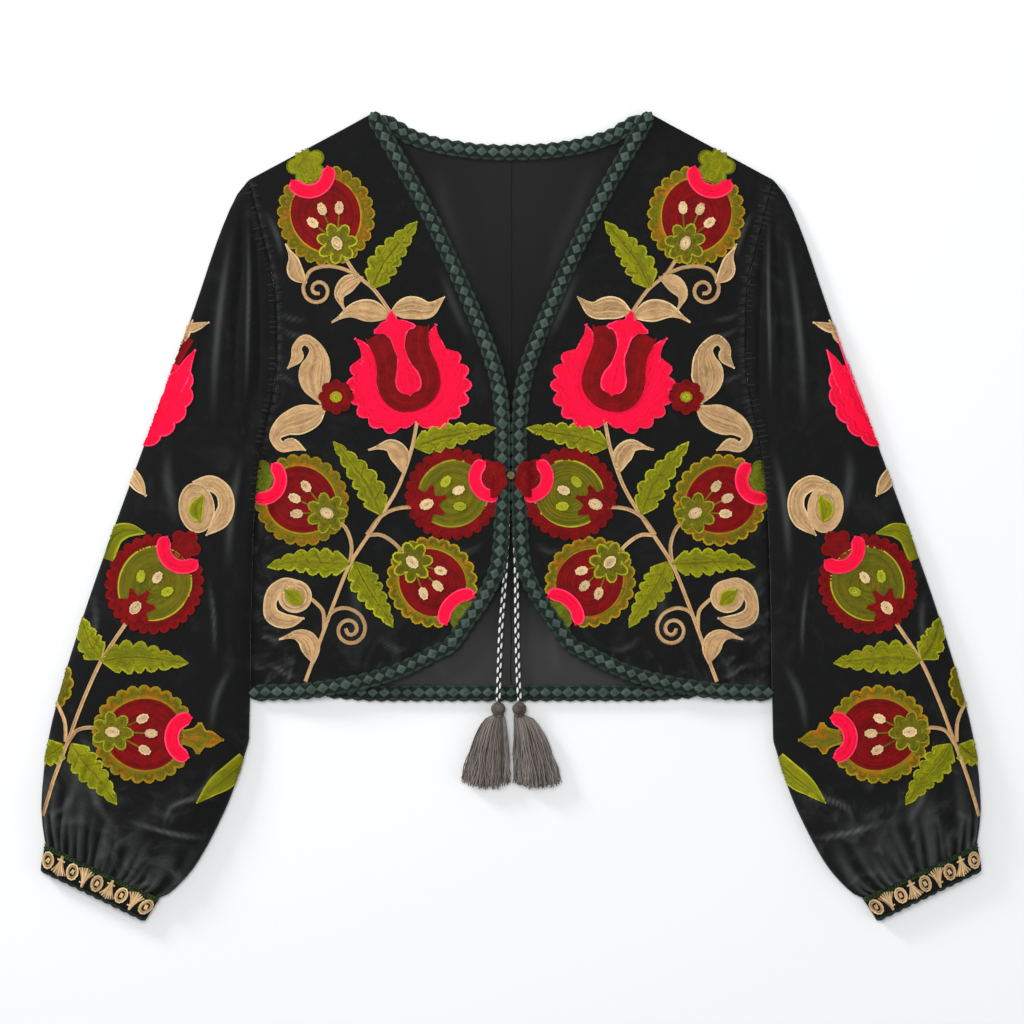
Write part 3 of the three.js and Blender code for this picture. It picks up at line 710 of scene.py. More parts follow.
# sleeves
sleeve = {
    "armholeGap": 0.12, "underarm": 84.0, "cloth": 1.4, "rows": 150, "above": 78, "below": 26,
    "fold": 3.6, "reach": 34.0, "spare": 0.6, "thinnest": 0.8, "deepest": 0.7,
    "heights": [(0, 4.7), (0.03, 6.2), (0.12, 8.2), (0.45, 11.5), (0.8, 16.0), (0.93, 16.5), (0.985, 11.2),
                (1, 9.6)],
}
sleeveOuter = [(221.4, 282.4), (232.3, 266.7), (247, 231.4), (269.2, 166), (307, 63.4), (355.3, -71),
               (385.6, -171.8), (394.8, -239), (391.6, -274.8)]
sleeveInnerEnd = [(220.2, -188.6), (236.9, -239), (262.5, -289.4), (284, -314.5), (295.4, -320.8)]
sleeveCreases = [
    ([(223, 264), (225, 212), (230, 150), (229, 84)], 3.0, -2.6),
    ([(214.5, 262), (212, 204), (210, 150), (211, 90)], 2.6, -2.4),
    ([(219, 258), (218, 204), (219, 150), (220, 92)], 2.4, 1.2),
    ([(231, 250), (240, 190), (246, 130), (248, 70)], 4.5, 1.1),
    ([(238, 232), (250, 170), (262, 110), (266, 60)], 5.0, -1.3),
    ([(206, 140), (216, 96), (220, 40), (220, -6)], 4.0, -1.4),
    ([(222, 60), (232, 6), (236, -50)], 5.0, 1.0),
    ([(252, -48), (247, -84), (246, -122)], 2.4, 1.1),
    ([(240, -60), (238, -96), (232, -130)], 3.0, -1.2),
    ([(228, -120), (244, -150), (250, -186)], 4.0, 0.9),
    ([(321, -254), (289, -264), (259, -270), (250, -266)], 2.8, 1.7),
    ([(289, -264), (283, -244), (258, -236), (240, -238)], 2.8, 1.5),
    ([(318, -262), (296, -276), (276, -276)], 2.6, -1.3),
    ([(352, -214), (344, -240), (330, -262)], 4.5, 1.0),
    ([(366, -228), (360, -252), (348, -276)], 3.6, -1.2),
    ([(276, -222), (262, -226), (244, -216)], 3.0, -0.9),
    ([(330, -100), (318, -126), (322, -150)], 5.0, -0.7),
    ([(350, -60), (346, -90), (352, -118)], 4.0, 0.8),
    ([(246, -206), (254, -226), (272, -240)], 2.4, 0.9),
    ([(284, 60), (286, 30), (276, -10)], 6.0, 0.8),
]
sleeveUnderCreases = [
    ([(226, 240), (240, 160), (262, 60)], 5.0, 0.8),
    ([(212, 150), (226, 60), (240, -40)], 5.0, 0.8),
    ([(300, 20), (318, -60), (350, -140)], 6.0, 0.8),
    ([(240, -140), (262, -190), (300, -230)], 5.0, 0.8),
    ([(330, -180), (350, -220), (366, -256)], 4.0, 0.8),
]
gathers = {"count": 15, "seed": 11, "low": 20.0, "high": 88.0, "height": 4.8}


def sleevePlanRows():
    side = smoothLine(armholeAndSide, 24) + np.array([sleeve["armholeGap"], 0])
    turn = int(np.argmax(side[:, 1] < sleeve["underarm"]))
    t = np.linspace(0, 1, sleeve["rows"] + 1)
    places = t - np.sin(2 * math.pi * t) / (4 * math.pi)
    head = evenly(side[: turn + 1], sleeve["above"])
    outer = evenly(np.vstack([side[:1], smoothLine(sleeveOuter, 40)[1:]]), places=places)
    inner = evenly(np.vstack([side[turn:], smoothLine(sleeveInnerEnd, 20)]), places=places)
    across = np.linspace(0, 1, sleeve["above"] + 1)[None, :, None]
    rows = outer[:, None] * (1 - across) + inner[:, None] * across
    chord = head[:1] * (1 - across[0]) + head[-1:] * across[0]
    rows = rows + ((1 - places) ** 4)[:, None, None] * (head - chord)[None]
    return rows, places


def gatherRelief(t, away, side):
    # soft folds that fan out from the cuff seam, each with its own length and place
    rng = random.Random(gathers["seed"] + side)
    relief = np.zeros(np.broadcast(t, away).shape)
    for k in range(gathers["count"]):
        centre = (k + 0.5 + rng.uniform(-0.34, 0.34)) / gathers["count"]
        length = rng.uniform(gathers["low"], gathers["high"])
        lean = rng.uniform(-0.045, 0.045)
        wide = rng.uniform(0.012, 0.02) * (1 + away / 34)
        fade = np.clip(1 - away / length, 0, 1) ** 1.2
        shape = np.exp(-(((t - centre - lean * away / 40) / wide) ** 2))
        relief += gathers["height"] * rng.uniform(0.7, 1.25) * shape * fade
        relief -= 1.4 * np.exp(-(((t - centre - 0.5 / gathers["count"]) / (0.5 * wide)) ** 2)) * fade
    return relief


def makeSleeves():
    rows, places = sleevePlanRows()
    count, cloth = sleeve["above"], sleeve["cloth"]
    heights = np.array(sleeve["heights"])
    height = np.interp(places, heights[:, 0], heights[:, 1])[:, None]
    width = np.linalg.norm(rows[:, 0] - rows[:, -1], axis=1)[:, None]
    away = np.linalg.norm(rows[-1][None] - rows, axis=2).min(axis=1)[:, None]
    down = places[:, None]

    def pointsAt(t):
        at = t * count
        j = np.clip(np.floor(at).astype(int), 0, count - 1)
        f = (at - j)[..., None]
        index = np.arange(len(rows))[:, None]
        return rows[index, j] * (1 - f) + rows[index, j + 1] * f

    def fromEdge(t):
        return np.minimum(t, 1 - t) * width

    def bunched(t, amount):
        # points bunch towards both folds, so that the folds turn roundly
        return np.broadcast_to(t - amount * np.sin(2 * math.pi * t), (len(rows), len(t)))

    above = bunched(np.linspace(0, 1, count + 1), 0.09)
    below = bunched(np.linspace(1, 0, sleeve["below"] + 1)[1:-1], 0.1)
    fold = np.minimum(sleeve["fold"], height * 0.45)
    inward = np.clip(fromEdge(above) / sleeve["reach"], 0, 1)
    dome = fold + (height - fold) * np.sqrt(1 - (1 - inward) ** 2)
    margin = (cloth + sleeve["spare"]) / width
    planTop, planLow = pointsAt(above), pointsAt(below)
    insideTop, insideLow = (pointsAt(margin + t * (1 - 2 * margin)) for t in (above, below))
    dents, _ = creaseRelief(planLow[..., 0], planLow[..., 1], sleeveUnderCreases)
    floorZ = np.minimum(dents, sleeve["deepest"]) * smoothStep(0, 8, fromEdge(below))
    x, y = planTop[..., 0], planTop[..., 1]
    fade = (1 - smoothStep(0.0, 0.035, down)) * 0.8 * smoothStep(0, 0.004, down)
    seam = np.abs(np.sin(np.pi * y / 8.5)) * fade
    nearCuff = np.broadcast_to(np.exp(-((away / 70) ** 2)), x.shape)
    for name, side in halves.items():
        flip = np.array([side, 1, 1])
        relief, paintedLight = creaseRelief(x + 2.0 * side, y, sleeveCreases)
        crumpled = np.clip(0.1 + 0.9 * nearCuff + 0.12 * np.sin(x / 23 + side) * np.sin(y / 37), 0, 1)
        crushed, ridgeLight = crinkle(x * side, y, crumpled, 24.0, 1.9, 8.0)
        relief = relief + 1.6 * softWaves(x * side + 40, y) + crushed
        relief = relief * (smoothStep(0, 9, fromEdge(above)) * smoothStep(0, 0.012, down))
        gathered = gatherRelief(above, away, side)
        relief = relief + gathered * smoothStep(0, 6, fromEdge(above)) + seam
        top = np.maximum(dome + relief, cloth * 2 + 0.4)
        topInside = np.maximum(dome - cloth + np.minimum(relief, 0), cloth + 0.5)
        topInside = np.minimum(topInside, top - sleeve["thinnest"])
        topInside[:, 0] = topInside[:, -1] = cloth + 0.25
        outer = np.concatenate([np.dstack([planTop, top]), np.dstack([planLow, floorZ])], axis=1)
        lowInside = np.full(below.shape, cloth)
        inner = np.concatenate([np.dstack([insideTop, topInside]), np.dstack([insideLow, lowInside])], axis=1)
        obj = closedTube("sleeveTube." + name, outer * flip, inner * flip)
        paintedRidges, crush = np.zeros(outer.shape[:2]), np.zeros(outer.shape[:2])
        # painted highlight on the ridges of creases, wrinkles and gathers
        paintedRidges[:, : count + 1] = paintedLight + ridgeLight + 0.08 * np.clip(gathered, 0, 3)
        crush[:, : count + 1] = crumpled
        storePaintedLight(obj, paintedRidges, crush)
        keepTop("sleeve" + name, planTop * flip[:2], top)
        keepPiece("sleeve_" + name, obj, velvet)


makeSleeves()
print("sleeves made")


# cuffs
cuff = {
    "topOuter": (391.7, -275.1), "topInner": (295.3, -321.1), "lowOuter": (395.2, -294.9),
    "lowInner": (306.0, -337.6), "wide": 104.0, "height": 9.4, "cloth": 2.0, "fold": 4.6, "reach": 8.0,
    "rows": 16, "above": 64, "below": 24, "margin": 0.026,
}


def cuffPoint(t, s):
    # t from the outer fold to the inner one, s from the sleeve seam to the lower edge
    t, s = np.asarray(t)[..., None], np.asarray(s)[..., None]
    top = np.array(cuff["topOuter"]) * (1 - t) + np.array(cuff["topInner"]) * t
    low = np.array(cuff["lowOuter"]) * (1 - t) + np.array(cuff["lowInner"]) * t
    return top * (1 - s) + low * s


def cuffDome(t, height):
    inward = np.clip(np.minimum(t, 1 - t) * cuff["wide"] / cuff["reach"], 0, 1)
    return cuff["fold"] + (height - cuff["fold"]) * np.sqrt(1 - (1 - inward) ** 2)


def makeCuffs():
    wall = cuff["cloth"]
    even = np.linspace(0, 1, cuff["above"] + 1)
    down = np.linspace(0, 1, cuff["rows"] + 1)
    above, rowAbove = np.meshgrid(even - 0.09 * np.sin(2 * math.pi * even), down)
    below, rowBelow = np.meshgrid(np.linspace(1, 0, cuff["below"] + 1)[1:-1], down)
    dome = cuffDome(above, cuff["height"])
    top = dome + (0.35 * np.sin(above * 37) * np.sin(rowAbove * math.pi) - 0.5 * (2 * rowAbove - 1) ** 6)
    topIn = np.maximum(dome - wall, wall + 0.5)
    topIn[:, 0] = topIn[:, -1] = wall + 0.2

    def ring(place, heightAbove, heightBelow):
        parts = ((above, rowAbove, heightAbove), (below, rowBelow, heightBelow))
        return np.concatenate([np.dstack([cuffPoint(place(t), s), z]) for t, s, z in parts], axis=1)

    outer = ring(lambda t: t, top, np.zeros(below.shape))
    inner = ring(lambda t: cuff["margin"] + t * (1 - 2 * cuff["margin"]), topIn, np.full(below.shape, wall))
    for name, side in halves.items():
        flip = np.array([side, 1, 1])
        obj = closedTube("cuffBand." + name, outer * flip, inner * flip)
        storePaintedLight(obj, np.zeros(len(obj.data.vertices)))
        keepTop("cuff" + name, cuffPoint(above, rowAbove) * flip[:2], top)
        keepPiece("cuff_" + name, obj, velvet)


makeCuffs()
print("cuffs made")


# embroidery: rows of stitches over thin patches, laid on the cloth
thread = {"row": 1.4, "spacing": 2.9, "lift": 0.42, "layer": 0.5, "stem": 0.9, "ground": 0.14, "wall": 0.22,
          "bar": (2.0, 0.66, 0.42), "sizes": (0.94, 1.06), "seed": 5}
sewn = {name: {"rows": [], "closed": []} for name in yarns}
patches = {name: {"vertices": [], "faces": []} for name in yarns}


def stitchItem():
    # a closed three-sided bar along Z with its ridge up
    half, wide, tall = thread["bar"]
    corners = [(0, tall), (-wide, -0.4 * tall), (wide, -0.4 * tall)]
    vertices = [(x, y, z) for z in (-half, half) for x, y in corners]
    faces = [(0, 2, 1), (3, 4, 5), (0, 1, 4, 3), (1, 2, 5, 4), (2, 0, 3, 5)]
    return addItem("chainStitch", vertices, faces, smooth=False)


stitch = stitchItem()


def heightOn(surface, x, y):
    # the surface is the name of a piece's top, or a function of x and y
    if callable(surface):
        return surface(x, y)
    hit = tops[surface].ray_cast(Vector((x, y, 90.0)), Vector((0, 0, -1)))
    return None if hit[0] is None else hit[0].z


def layOn(surface, line, lift, closed=False):
    # drops a plan line on the cloth, and cuts it where the cloth ends
    parts, part = [], []
    for x, y in line:
        z = heightOn(surface, x, y)
        if z is None:
            if len(part) > 2:
                parts.append(part)
            part = []
            continue
        part.append((x, y, z + lift))
    whole = len(part) == len(line)
    if len(part) > 2:
        parts.append(part)
    return parts, closed and whole


class Sewing:
    # stitches on one piece of cloth, on one half of the jacket
    def __init__(self, surface, side):
        self.surface, self.side = surface, side

    def row(self, colour, line, closed=False, layer=0):
        line = np.asarray(line, float) * np.array([self.side, 1.0])
        if closed:
            line = np.vstack([line, line[:1]])
        length = np.linalg.norm(np.diff(line, axis=0), axis=1).sum()
        if length < 2.0:
            return
        line = evenly(line, max(3, int(length / 2.0)))
        if closed:
            line = line[:-1]
        parts, loop = layOn(self.surface, line, thread["lift"] + layer * thread["layer"], closed)
        for part in parts:
            sewn[colour]["rows"].append(part)
            sewn[colour]["closed"].append(loop)

    def patch(self, colour, grid, closed=False, layer=0):
        grid = np.asarray(grid, float) * np.array([self.side, 1.0])
        keep = list(range(0, grid.shape[1], 2))
        if not closed and keep[-1] != grid.shape[1] - 1:
            keep.append(grid.shape[1] - 1)
        grid = grid[:, keep]
        rows, columns = grid.shape[:2]
        lift = thread["ground"] + layer * thread["layer"]
        heights = [heightOn(self.surface, x, y) for x, y in grid.reshape(-1, 2)]
        store = patches[colour]
        first = len(store["vertices"])
        for (x, y), z in zip(grid.reshape(-1, 2), heights):
            store["vertices"].append((x, y, 0.0 if z is None else z + lift))
        for face in gridFaces(rows, columns, 0, closed):
            if all(heights[k] is not None for k in face):
                store["faces"].append([first + int(k) for k in face])

    def between(self, colour, one, other, edges=(None, None), layer=0):
        # rows that pass from one line to another with as many points
        one, other = np.asarray(one, float), np.asarray(other, float)
        blend = lambda places: [one * (1 - k) + other * k for k in places]
        count = max(1, int(round(np.linalg.norm(one - other, axis=1).max() / thread["row"])))
        self.patch(colour, blend(np.linspace(0, 1, max(2, count // 2))), False, layer)
        for number, row in enumerate(blend(np.linspace(0, 1, count + 1))):
            first, last = number == 0, number == count
            tone = (first and edges[0]) or (last and edges[1]) or colour
            self.row(tone, row if first or last else row[1:-1], False, layer)

    def leaf(self, colour, spine, half=1.0, widths=None, edge=None, vein=None, teeth=0, layer=0):
        # rows run from base to tip. The half width comes from the spine's third column, or from
        # widths at even places along it, or is even with round ends
        line = smoothLine(spine, 48)
        s = np.linspace(0, 1, 49)
        if line.shape[1] == 3:
            wide, line = line[:, 2], line[:, :2]
        elif widths == "round":
            reach = np.linalg.norm(np.diff(line, axis=0), axis=1).sum()
            near = np.clip(np.minimum(s, 1 - s) * reach / half, 0.02, 1)
            wide = np.sqrt(1 - (1 - near) ** 2)
        else:
            wide = smoothLine([(k / (len(widths) - 1), w) for k, w in enumerate(widths)], 48)
            wide = np.interp(s, wide[:, 0], wide[:, 1])
        if teeth:
            wide = wide * (0.64 + 0.44 * np.abs(np.sin(math.pi * teeth * s)) ** 0.8)
        wide = half * np.maximum(wide, 0)
        slant = 0.3 if teeth else 0.0
        normal, tangent = sideways(line)

        def place(k):
            lean = tangent * (wide * abs(k) * slant * (1 - s))[:, None]
            return line + normal * (wide * k)[:, None] + lean

        count = max(1, int(round(wide.max() / thread["row"])))
        self.patch(colour, [place(k) for k in np.linspace(-1, 1, 2 * max(1, count // 2) + 1)], False, layer)
        for k in np.linspace(-1, 1, 2 * count + 1):
            rim, middle = abs(k) > 0.99, abs(k) < 0.01
            row = place(k)
            if not rim and not middle:
                # inner rows stop where the leaf is narrower than a thread
                row = row[wide * abs(k) > thread["row"] * 0.45]
            if len(row) > 3:
                self.row((rim and edge) or (middle and vein) or colour, row, False, layer)
        for j in range(1, teeth):
            at = int(48 * (j + 0.1) / teeth)
            for k in (-0.72, 0.72):
                tip = place(k)[min(48, at + 3)]
                self.row(vein, [line[at], (line[at] + tip) / 2, tip], False, layer)

    def rings(self, colour, centre, outline, edge=None, layer=0, inner=0.0):
        # closed rows that step in from the outline to the centre
        centre, outline = np.asarray(centre, float), np.asarray(outline, float)
        ring = lambda k: centre + (outline - centre) * k
        reach = np.linalg.norm(outline - centre, axis=1).mean()
        count = max(1, int(round(reach * (1 - inner) / thread["row"])))
        levels = np.linspace(1, max(inner, 0.03), max(3, count // 2))
        self.patch(colour, [ring(k) for k in levels], True, layer)
        for number, k in enumerate(np.linspace(1, inner, count + 1)):
            self.row(edge if edge and number == 0 else colour, ring(k), True, layer)

    def stem(self, points):
        # three cream rows side by side
        line = smoothLine(points, 60)
        normal, _ = sideways(line)
        for k in (-1, 0, 1):
            self.row("cream", line + normal * k * thread["stem"])
        edge = normal * thread["stem"]
        self.patch("cream", [line + edge, line - edge])

    def paleLeaf(self, spine, half, widths=(0.15, 0.7, 1.0, 0.98, 0.75, 0.42, 0.15, 0.04)):
        self.leaf("cream", spine, half, widths, "seed")

    def toothedLeaf(self, spine, half, teeth=6):
        widths = (0.4, 0.92, 1.0, 0.96, 0.86, 0.73, 0.56, 0.38, 0.1)
        self.leaf("leaf", spine, half, widths, "lime", "olive", teeth)

    def curl(self, centre, radius, start, turns, lead):
        # a tendril: the lead-in points, then a spiral that closes in
        t = np.linspace(0, 1, 24)
        angle = start + turns * 2 * math.pi * t
        reach = radius * (1 - 0.78 * t)
        spiral = np.column_stack([centre[0] + reach * np.cos(angle), centre[1] + reach * np.sin(angle)])
        self.stem(np.vstack([lead, spiral]))


def polarOutline(centre, turn, count, reach):
    # a closed outline whose reach depends on the angle from its axis
    angle = np.linspace(0, 2 * math.pi, count, endpoint=False)
    along, across = reach(angle)
    c, s = math.cos(turn), math.sin(turn)
    return np.column_stack([centre[0] + along * c - across * s, centre[1] + along * s + across * c])


def ovalOutline(centre, along, across, turn=0.0, count=24):
    return polarOutline(centre, turn, count, lambda a: (along * np.cos(a), across * np.sin(a)))


def lobedOutline(centre, radius, lobes, depth, turn=0.0, sharp=0.7, pointed=False):
    def reach(angle):
        if pointed:
            wave = 1 - np.abs(np.sin(lobes * angle / 2)) ** sharp
        else:
            wave = np.abs(np.cos(lobes * angle / 2)) ** sharp
        size = radius * (1 - depth + depth * wave)
        return size * np.cos(angle), size * np.sin(angle)
    return polarOutline(centre, turn, 84, reach)


def eggOutline(centre, radius, turn):
    # a body a little longer than wide, with its small end away from the crown
    reach = lambda a: (1.07 * radius * np.cos(a), radius * (0.985 + 0.05 * np.cos(a)) * np.sin(a))
    return polarOutline(centre, turn, 64, reach)


# fruits: petals are the calyx's size, count, depth, sharpness and kind; the bow is the pink mouth
fruit = {"mouth": 0.5, "pitch": 10.2, "crownOut": 5.0, "crownSize": 13.0, "crownTip": 0,
         "bow": (1.26, 0.5, 0.53)}
redInside = {
    **fruit, "inside": "red", "line": "gold", "ring": "amber", "rim": "gold", "eye": "olive", "crown": "leaf",
    "crownEdge": "leafDark", "calyx": "olive", "calyxEdge": "lime", "stalk": "olive", "seeds": ("seed",) * 3,
    "petals": (17.0, 7, 0.46, 0.85, False)}
oliveInside = {
    **fruit, "inside": "olive", "line": "lime", "ring": "red", "rim": "red", "eye": "red", "crown": "red",
    "crownEdge": "red", "calyx": "red", "calyxEdge": "red", "stalk": "leafDark", "pitch": 9.0,
    "seeds": ("lime", "seed", "lime"), "petals": (17.0, 7, 0.44, 0.9, True)}


def pomegranate(sew, centre, crownAt, inner, outer, look):
    centre, crownAt = np.array(centre, float), np.array(crownAt, float)
    axis = (crownAt - centre) / np.linalg.norm(crownAt - centre)
    side = np.array([-axis[1], axis[0]])
    turn = math.atan2(axis[1], axis[0])
    at = lambda along, across: centre + along * inner * axis + across * inner * side
    # band of scallops, open at the crown
    mouth = look["mouth"]
    span = 2 * math.pi - 2 * mouth
    count = int(round(span * outer / look["pitch"]))
    t = np.linspace(0, 1, count * 9 + 1)
    angle = mouth + t * span
    bump = np.abs(np.sin(math.pi * count * t)) ** 0.7
    depth = outer - inner

    def body(size):
        return centre + np.outer(1.05 * size * np.cos(angle), axis) + np.outer(size * np.sin(angle), side)

    rim = body(inner + depth * (0.62 + 0.42 * bump))
    sew.between(look["ring"], rim, body(inner + 0.6), (look["rim"], None))
    for k in range(count):
        # each scallop holds a small arc
        a = mouth + (k + 0.5) / count * span
        out = math.cos(a) * axis + math.sin(a) * side
        across = np.array([-out[1], out[0]])
        eye = centre + (inner + depth * 0.5) * (1.05 * math.cos(a) * axis + math.sin(a) * side)
        arc = [eye + 2.3 * (math.cos(b) * out + math.sin(b) * across) for b in np.linspace(-1.7, 1.7, 7)]
        sew.row(look["eye"], arc, False, 0.6)
    sew.rings(look["inside"], centre, eggOutline(centre, inner, turn), look["line"])
    # crown with its neck, then the mouth that lies over it
    crown = centre + (outer + look["crownOut"]) * axis
    size = look["crownSize"]
    if look["crownTip"]:
        spine = [at(0.9, 0), crown, crown + axis * look["crownTip"]]
        widths = (0.34, 0.4, 0.5, 0.62, 1.0, 0.5, 0.5, 0.28, 0.02)
        sew.leaf(look["crown"], spine, size, widths, look["crownEdge"])
    elif size:
        sew.leaf(look["crown"], [at(0.85, 0), at(1.1, 0), crown], 6.0, (0.8, 0.8, 0.9, 0.9))
        sew.rings(look["crown"], crown, lobedOutline(crown, size, 5, 0.4, turn), look["crownEdge"])
    place, depth, span = look["bow"]
    bow = [at(place - depth * math.cos(a), span * math.sin(a)) for a in np.linspace(-1.5, 1.5, 11)]
    sew.leaf("pink", bow, 0.175 * inner, "round", "rose", layer=1)
    # calyx with a cream heart, and three seeds on thin stalks
    star = at(-0.84, 0)
    spread, petals, notch, tips, pointed = look["petals"]
    outline = lobedOutline(star, spread, petals, notch, turn, tips, pointed)
    sew.rings(look["calyx"], star, outline, look["calyxEdge"], 1)
    for (along, across), tone in zip(((-0.06, -0.42), (0.2, -0.04), (0.06, 0.42)), look["seeds"]):
        spot, root = at(along, across), at(-0.5, across * 0.4)
        sew.row(look["stalk"], [root, (root + spot) / 2, spot], False, 0.6)
        lean = math.atan2(*(spot - root)[::-1])
        sew.rings(tone, spot, ovalOutline(spot, 4.7, 3.0, lean, 18), None, 2)
    sew.rings("seed", star, ovalOutline(star, 5.2, 3.7, turn, 20), None, 2)


# the cup flower: a scalloped rim between its two horns, a dark U, a bud in the middle and its frill
cup = {
    "centre": (85.5, 110), "wide": 48.5, "tall": 41.0, "from": 0.5, "to": -3.93, "scallops": 14,
    "depth": 0.15, "notch": 0.24, "hornIn": [(129.9, 148.2), (126.2, 141), (125.0, 134.5)],
    "hornOut": [(57.5, 145), (61.6, 152), (63.4, 159.6)],
    "hollow": [(129.9, 148.2), (123.3, 145.4), (117.5, 140), (113.8, 132.4), (112.1, 122), (111.9, 109),
               (107.2, 98.4), (97.5, 90.2), (86.5, 88.2), (73.6, 92), (64.3, 100.2), (60.2, 111.5),
               (62.4, 125.4), (66.5, 136.5), (69.4, 147.5), (67.7, 155), (63.4, 159.6)],
    "bandOut": [(121, 147.5), (117.5, 140.4), (113.8, 132.9), (112, 122), (111.9, 110.5), (107.2, 98.4),
                (97.9, 90), (86.7, 88.2), (73.6, 91.8), (64.3, 100.2), (60, 111.4), (62.4, 125.4),
                (67.7, 138.5), (69.9, 147.8), (69.2, 158.7)],
    "bandIn": [(106, 155.5), (101.3, 149.3), (97.5, 142), (95.3, 133.8), (95.7, 124.5), (97.2, 116),
               (95.5, 108.6), (91.4, 104), (84.8, 102.5), (77.7, 105.3), (75.5, 111.4), (77.7, 118),
               (83, 125.4), (87.6, 133.8), (89.9, 142.2), (88, 151), (83, 160)],
    "bud": [(95.2, 152, 6.6), (93.9, 142, 4.2), (91.3, 133.8, 3.9), (89.2, 124.5, 6.4), (87.1, 117, 9.7),
            (85.7, 110, 10.1), (85.2, 105.3, 7.7), (84.8, 102.6, 0.5)],
    "frillIn": [(100.7, 170.4), (103.9, 167.4), (103.7, 164.3), (108.2, 162.2), (111.3, 158.7),
                (114.7, 153.8), (107, 153.6), (101.3, 149.3)],
    "frillOut": [(100.5, 170.4), (96.4, 167.4), (96.8, 164.6), (90.4, 163.9), (85.8, 162.4), (80.2, 159.4),
                 (86.3, 156.4), (89.1, 150.6)],
}


def cupRim():
    # outer edge of the cup flower: horn, scalloped sides with a notch below, horn
    angle = np.linspace(cup["from"], cup["to"], 100)
    size = 1 - cup["notch"] * np.exp(-(((angle + math.pi / 2 + 0.1) / 0.3) ** 2))
    bump = np.abs(np.sin(math.pi * cup["scallops"] * np.linspace(0, 1, 100))) ** 0.7
    bump = 1 + cup["depth"] * (bump - 0.5)
    rim = np.column_stack([cup["centre"][0] + cup["wide"] * size * bump * np.cos(angle),
                           cup["centre"][1] + cup["tall"] * size * bump * np.sin(angle)])
    first, last = smoothLine(cup["hornIn"] + [rim[0]], 12), smoothLine([rim[-1]] + cup["hornOut"], 12)
    return evenly(np.vstack([first[:-1], rim, last[1:]]), 150)


def cupFlower(sew):
    sew.between("pink", cupRim(), smoothLine(cup["hollow"], 150), ("rose", "rose"))
    sew.between("red", smoothLine(cup["bandOut"], 90), smoothLine(cup["bandIn"], 90), layer=1)
    sew.leaf("pink", cup["bud"], edge="rose", layer=2)
    sew.between("pink", smoothLine(cup["frillIn"], 40), smoothLine(cup["frillOut"], 40), ("rose", "rose"), 2)


def smallFlower(sew, centre):
    sew.rings("red", centre, lobedOutline(centre, 14.2, 8, 0.22), None, 1)
    sew.rings("lime", centre, ovalOutline(centre, 4.4, 4.0), "gold", 2)


def bud(sew, centre, along, across, turn, hook, heart):
    # a round bud whose outer petal curls round a small hollow
    sew.rings("cream", centre, ovalOutline(centre, along, across, turn, 44), "seed")
    sew.leaf("cream", hook, edge="seed")
    sew.leaf("leaf", heart, 5.6, (0.3, 0.9, 1.0, 0.7, 0.1), "lime", layer=1)


